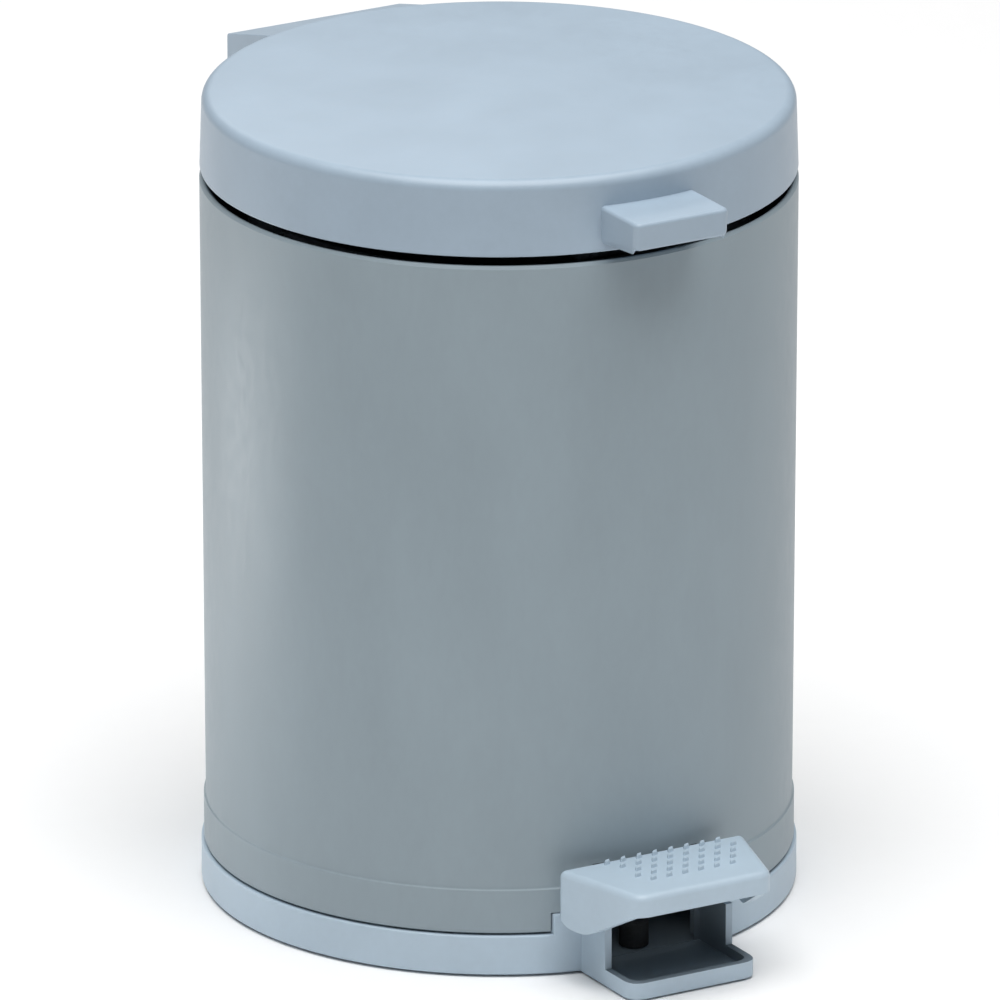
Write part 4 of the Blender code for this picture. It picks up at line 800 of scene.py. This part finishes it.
# ---- Inner bucket ------------------------------------------------------------------------
# A tapered pail in darker polypropylene that lifts out for emptying. It has a turned-out
# rim, a stepped foot and an ear at each side for the bail.
dark_polypropylene = moulded_plastic("dark grey polypropylene", "#70777D", 0.46, streak=0.5)
bucket_low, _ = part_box("inner_bucket")
bucket_rim_top, bucket_rim_radius, bucket_radius = 244 * MM, 86 * MM, 84 * MM
bucket_foot, bucket_wall, bail_z = 78 * MM, 1.8 * MM, 248.8 * MM
pail = turned("bucket_pail", [
    (0, bucket_low.z + bucket_wall),
    *arc((bucket_foot - bucket_wall - 3 * MM, bucket_low.z + bucket_wall + 3 * MM), 3 * MM, -90, 0),
    *arc((bucket_radius - bucket_wall + 0.5 * MM, bucket_rim_top - 0.5 * MM), 0.5 * MM, 180, 90, 4),
    *arc((bucket_rim_radius - 0.8 * MM, bucket_rim_top - 0.8 * MM), 0.8 * MM, 90, 0),
    (bucket_rim_radius, bucket_rim_top - 3.5 * MM),
    (bucket_radius + 0.3 * MM, bucket_rim_top - 3.5 * MM),
    (bucket_radius - 0.1 * MM, bucket_rim_top - 4.0 * MM),
    *arc((bucket_foot - 3 * MM, bucket_low.z + 3 * MM), 3 * MM, 0, -90),
    (bucket_foot - 6 * MM, bucket_low.z), (bucket_foot - 7 * MM, bucket_low.z + 0.6 * MM),
    (0, bucket_low.z + 0.6 * MM),
])
ear_inner, ear_outer, rim_low = 86.2 * MM, 89.3 * MM, bucket_rim_top - 3.5 * MM
ear_outline = [(-6 * MM, rim_low), (6 * MM, rim_low), *arc((0, bail_z), 4.2 * MM, 0, 180, 20)]
for side in (-1, 1):
    inner, outer = sorted((side * ear_inner, side * ear_outer))
    tab_inner, tab_outer = sorted((side * bucket_radius, side * (ear_outer - 0.1 * MM)))
    join(pail, slab("ear", ear_outline, inner, outer, "X", edge=0.3 * MM),
         block("ear tab", (tab_inner, -5.9 * MM, rim_low + 0.2 * MM),
               (tab_outer, 5.9 * MM, bucket_rim_top - 0.2 * MM)))
    cut(pail, slab("ear hole", circle((0, bail_z), 1.6 * MM), inner - 1 * MM, outer + 1 * MM, "X"))
fitted(pail, "bucket", "bucket_plastic", dark_polypropylene, "inner_bucket")

# ---- Bail and grip -----------------------------------------------------------------------
# A zinc-plated wire handle, sprung into the bucket's ears and folded flat on its rim. A
# roller with finger grooves turns on its middle, in the bucket's dark plastic as painted shade for the gap
# under the lid.
grip_low, grip_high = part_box("bail_grip")
grip_y, bail_radius = (grip_low.y + grip_high.y) / 2, 1.4 * MM
on_rim = [around(-3 - 65 * i / 28, bucket_radius) for i in range(29)]
last = math.radians(-68)
run = (grip_y - on_rim[-1][1]) / -math.cos(last)
corner = (on_rim[-1][0] + run * math.sin(last), grip_y)
half_bail = [(ear_outer + 2 * MM, 0), (ear_inner, 0), (bucket_radius + 0.5 * MM, -0.9 * MM),
             *on_rim, corner]
plan = half_bail + [(-x, y) for x, y in reversed(half_bail)]
bail = wire("bail_wire", [(x, y, bail_z) for x, y in plan], bail_radius, 3 * MM, zinc)
fitted(bail, "bail", "zinc_plated_steel", zinc, "bucket_bail")
grip_radius, grip_half = (grip_high.z - grip_low.z) / 2, grip_high.x
grip_section = [(1.6 * MM, grip_half - 0.3 * MM), (1.9 * MM, grip_half), (grip_radius - 1 * MM, grip_half)]
for i in range(9):
    at = grip_half - (2 + 4 * i) * MM
    grip_section += [(grip_radius, at + 1.2 * MM), (grip_radius, at - 1.2 * MM),
                     (grip_radius - 0.6 * MM, at - 2 * MM)]
grip_section[-1] = (grip_radius - 1 * MM, -grip_half)
grip_section += [(1.9 * MM, -grip_half), (1.6 * MM, 0.3 * MM - grip_half)]
grip = turned("grip_roller", grip_section, steps=64)
# The grip's dark plastic is painted shade, so it stays dark where it shows in the gap under the lid.
fitted(laid(grip, grip_y, bail_z), "bail", "bush_plastic", dark_polypropylene, "bail_grip")

# ---- Lid ---------------------------------------------------------------------------------
# One moulding in a slightly paler grey: a shallow dome over a straight skirt, a finger lip
# at the front, the hollow hinge block at the rear, and the crank that the push rod lifts.
lid_polypropylene = moulded_plastic("light blue grey polypropylene", "#9DAEBD", 0.38)
lid_low, lid_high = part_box("lid")
lid_bottom, lid_top, lid_wall = 252.4 * MM, lid_high.z, 2.2 * MM
skirt_low, skirt_top = rim_radius - 0.1 * MM, rim_radius - 0.8 * MM
fillet, crown = 3.8 * MM, 2.6 * MM


def lid_section(inset):
    """Section from the middle of the lid's top to its skirt, or of the hollow under it."""
    shoulder = skirt_top - fillet
    top = lid_top - inset
    dome = [(shoulder * i / 10, top - crown * (i / 10) ** 2) for i in range(10)]
    return dome + arc((shoulder, lid_top - crown - fillet), fillet - inset, 90, 0, 12)


lid = turned("lid_moulding", lid_section(0) + [
    *arc((skirt_low - 0.6 * MM, lid_bottom + 0.6 * MM), 0.6 * MM, 0, -90, 5), (0, lid_bottom),
])
block_half, block_rear, block_rear_top, block_front = 33.5 * MM, lid_high.y, lid_top - 12.8 * MM, 86 * MM
block_bottom, block_side, block_wall = hinge.z - 5.5 * MM, rim_radius + 2.5 * MM, 2.5 * MM
shoulder_top = lid_top - crown
slope = (block_rear_top - shoulder_top) / (block_rear - block_front)
hinge_block = slab("hinge block", eased([
    (block_front, lid_bottom + 1.5 * MM), (block_side, lid_bottom + 1.5 * MM), (block_side, block_bottom),
    (block_rear, block_bottom), (block_rear, block_rear_top), (block_front, shoulder_top - 0.1 * MM),
], (0, 0, 0.5 * MM, 0.8 * MM, 0.9 * MM, 0), 5), -block_half, block_half, "X", edge=0.4 * MM)
lip_half, lip_front, lip_top, lip_bottom = 17.8 * MM, -lid_low.y, 268.2 * MM, 258.5 * MM
lip_rear = 94 * MM
lip_plan = eased([(-lip_half, -lip_rear), (-lip_half, -lip_front), (lip_half, -lip_front),
                  (lip_half, -lip_rear)], (0, 2.6 * MM, 2.6 * MM, 0), 8)
lip = slab("lip", lip_plan, lip_bottom, lip_top)
# The underside falls towards the skirt, and the front leans back a little.
for corner in lip.data.vertices:
    if corner.co.z < lip_top - 1 * MM:
        if corner.co.y > -(lip_rear + 1 * MM):
            corner.co.z -= 4 * MM
        else:
            corner.co.y += 0.8 * MM
soften(lip, 1.5 * MM, segments=5)
join(lid, hinge_block, lip)
hollow = turned("lid hollow", lid_section(lid_wall) + [
    (skirt_low - lid_wall, lid_bottom - 2 * MM), (0, lid_bottom - 2 * MM),
])
roof, cavity_rear = block_rear_top - block_wall, block_rear - block_wall
cavity = slab("hinge cavity", [
    (block_front, block_bottom - 5 * MM), (cavity_rear, block_bottom - 5 * MM), (cavity_rear, roof),
    (block_front, roof - slope * (cavity_rear - block_front)),
], block_wall - block_half, block_half - block_wall, "X")
cut(cavity, slab("skirt kept", circle((0, 0), skirt_low + 0.2 * MM, ROUND), 200 * MM, 300 * MM))
cut(lid, hollow, cavity, block("lip room", (lid_wall - lip_half, lid_wall - lip_front, lip_bottom - 5 * MM),
                               (lip_half - lid_wall, -skirt_low - 1.5 * MM, lip_top - lid_wall)))

lift, travel = math.radians(70), math.radians(10.5)
crank_radius = (pivot.z - eye.z) / math.sin(lift / 2)
crank_reach = crank_radius * math.cos(lift / 2)
swing = (eye.y - pivot.y) * (1 / math.cos(travel / 2) - 1)
crank_aim = Vector((-math.cos(lift / 2), -math.sin(lift / 2)))


def capsule(start, end, radius):
    """Outline round a line, with half-round ends."""
    aim = math.degrees(math.atan2(end[1] - start[1], end[0] - start[0]))
    return arc(start, radius, aim + 90, aim + 270, 16) + arc(end, radius, aim - 90, aim + 90, 16)


def along_crank(distance):
    return tuple(Vector((hinge.y, hinge.z)) + crank_aim * distance)


slot_ends = (along_crank(crank_reach - swing), along_crank(crank_radius))
web_front = skirt_low + 3 * MM
crank = slab("crank web", [
    (web_front, hinge.z), *arc((hinge.y, hinge.z), 4.5 * MM, 200, 350, 16),
    (block_rear - 7 * MM, block_rear_top - 1 * MM), (web_front, block_rear_top + 2 * MM),
], -3 * MM, 3 * MM, "X")
join(crank, slab("crank arm", capsule((hinge.y, hinge.z), along_crank(0.8 * crank_radius), 4 * MM),
                 -3 * MM + SHY, 3 * MM - SHY, "X"),
     slab("crank eye", capsule(*slot_ends, 4.3 * MM), -3 * MM - SHY, 3 * MM + SHY, "X", edge=0.3 * MM))
cut(crank, slab("crank slot", capsule(*slot_ends, 2.5 * MM), -4 * MM, 4 * MM, "X"))
join(lid, crank)
cut(lid, slab("hinge hole", circle((hinge.y, hinge.z), 2.1 * MM), -40 * MM, 40 * MM, "X"))
fitted(lid, "lid", "lid_plastic", lid_polypropylene, "lid", sharp=35)

# ---- Hinge pin and its retainer ----------------------------------------------------------
# A headed steel pin through the block's sides and the body's lugs. A pressed washer is
# pushed on its right end.
hinge_low, hinge_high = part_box("hinge_pin")
hinge_radius, head_radius = 2 * MM, 3.5 * MM
head_at = -(block_half + FIT)
hinge_pin = turned("hinge_pin_bar", [
    (0, hinge_high.x), (hinge_radius - 0.4 * MM, hinge_high.x), (hinge_radius, hinge_high.x - 0.4 * MM),
    (hinge_radius, head_at), (head_radius - 0.2 * MM, head_at), (head_radius, head_at - 0.2 * MM),
    (head_radius, head_at - 1.0 * MM),
    *arc((head_radius - 1.2 * MM, hinge_low.x + 1.2 * MM), 1.2 * MM, 0, -90, 6), (0, hinge_low.x),
], steps=48)
fitted(laid(hinge_pin, hinge.y, hinge.z), "bin", "zinc_plated_steel", zinc, "hinge_pin")
keeper_low, keeper_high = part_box("hinge_pin_retainer")
keeper = washer("keeper_washer", 4 * MM, 2.1 * MM, keeper_low.x, keeper_high.x, edge=0.2 * MM)
cut(keeper, block("keeper slit", (-0.25 * MM, 0, keeper_low.x - 1 * MM),
                  (0.25 * MM, 3.0 * MM, keeper_high.x + 1 * MM)))
fitted(laid(keeper, hinge.y, hinge.z), "bin", "zinc_plated_steel", zinc, "hinge_pin_retainer")

# ---- Floor, light and camera -------------------------------------------------------------
# A matt white studio floor under a large overhead softbox, with a second light on the floor
# behind and a small low kicker at the left, seen through a long lens from the front left.
def studio_floor():
    """Matt white board with a barely visible tooth."""
    made, tree, shader, place = blank_material("matt white board")
    tooth = node(tree, "ShaderNodeTexNoise", inputs={"Vector": place, "Scale": 1 / (12 * MM)})
    blend = node(tree, "ShaderNodeMix", {"data_type": "RGBA"}, {
        0: tooth.outputs["Fac"], 6: colour("#F9F9F9"), 7: colour("#FBFBFB")})
    tree.links.new(blend.outputs[2], shader.inputs["Base Color"])
    shader.inputs["Roughness"].default_value = 0.9
    shader.inputs["Specular IOR Level"].default_value = 0.1
    return made


floor_mesh = bpy.data.meshes.new("floor")
floor_mesh.from_pydata([(-4, -4, 0), (4, -4, 0), (4, 4, 0), (-4, 4, 0)], [], [(0, 1, 2, 3)])
floor = linked("floor", floor_mesh)
floor_mesh.materials.append(studio_floor())


def softbox(name, place, aim, width, height, power, tint):
    light = bpy.data.lights.new(name, "AREA")
    light.shape = "RECTANGLE"
    light.size, light.size_y = width, height
    light.energy = power
    light.color = colour(tint)[:3]
    obj = linked(name, light)
    obj.location = place
    obj.rotation_euler = (Vector(aim) - Vector(place)).to_track_quat("-Z", "Y").to_euler()
    obj.visible_camera = False
    return obj


softbox("overhead softbox", (-0.2, -0.4, 2.3), (0, 0, 0.1), 2.3, 2.3, 74, "#FFFFFF")
softbox("backdrop light", (0.5, 1.8, 1.2), (0.5, 1.9, 0), 1.2, 1.2, 8, "#FFFFFF")
softbox("low kicker", (-0.34, 0.30, 0.04), (0, 0, 0), 0.3, 0.08, 0.3, "#FFFFFF")

scene = bpy.context.scene
scene.view_settings.view_transform = "Standard"
world = bpy.data.worlds.new("studio")
scene.world = world
world.use_nodes = True
surround = world.node_tree.nodes["Background"]
surround.inputs["Color"].default_value = colour("#FFFFFF")
surround.inputs["Strength"].default_value = 0.16

view_angle, view_rise, view_distance = math.radians(-30), math.radians(19.24), 6.0
toward = Vector((math.sin(view_angle) * math.cos(view_rise), -math.cos(view_angle) * math.cos(view_rise),
                 math.sin(view_rise)))
rightward = Vector((math.cos(view_angle), math.sin(view_angle), 0))
upward = toward.cross(rightward)
aim_right, aim_down = 0.34 * MM, 6.28 * MM     # sets the bin in the middle of the frame
target = Vector((0, 0, 140 * MM)) + rightward * aim_right - upward * aim_down
lens = bpy.data.cameras.new("camera")
lens.lens, lens.sensor_width, lens.clip_end = 643.7, 36, 50
camera = linked("camera", lens)
camera.location = target + toward * view_distance
camera.rotation_euler = (-toward).to_track_quat("-Z", "Y").to_euler()
scene.camera = camera
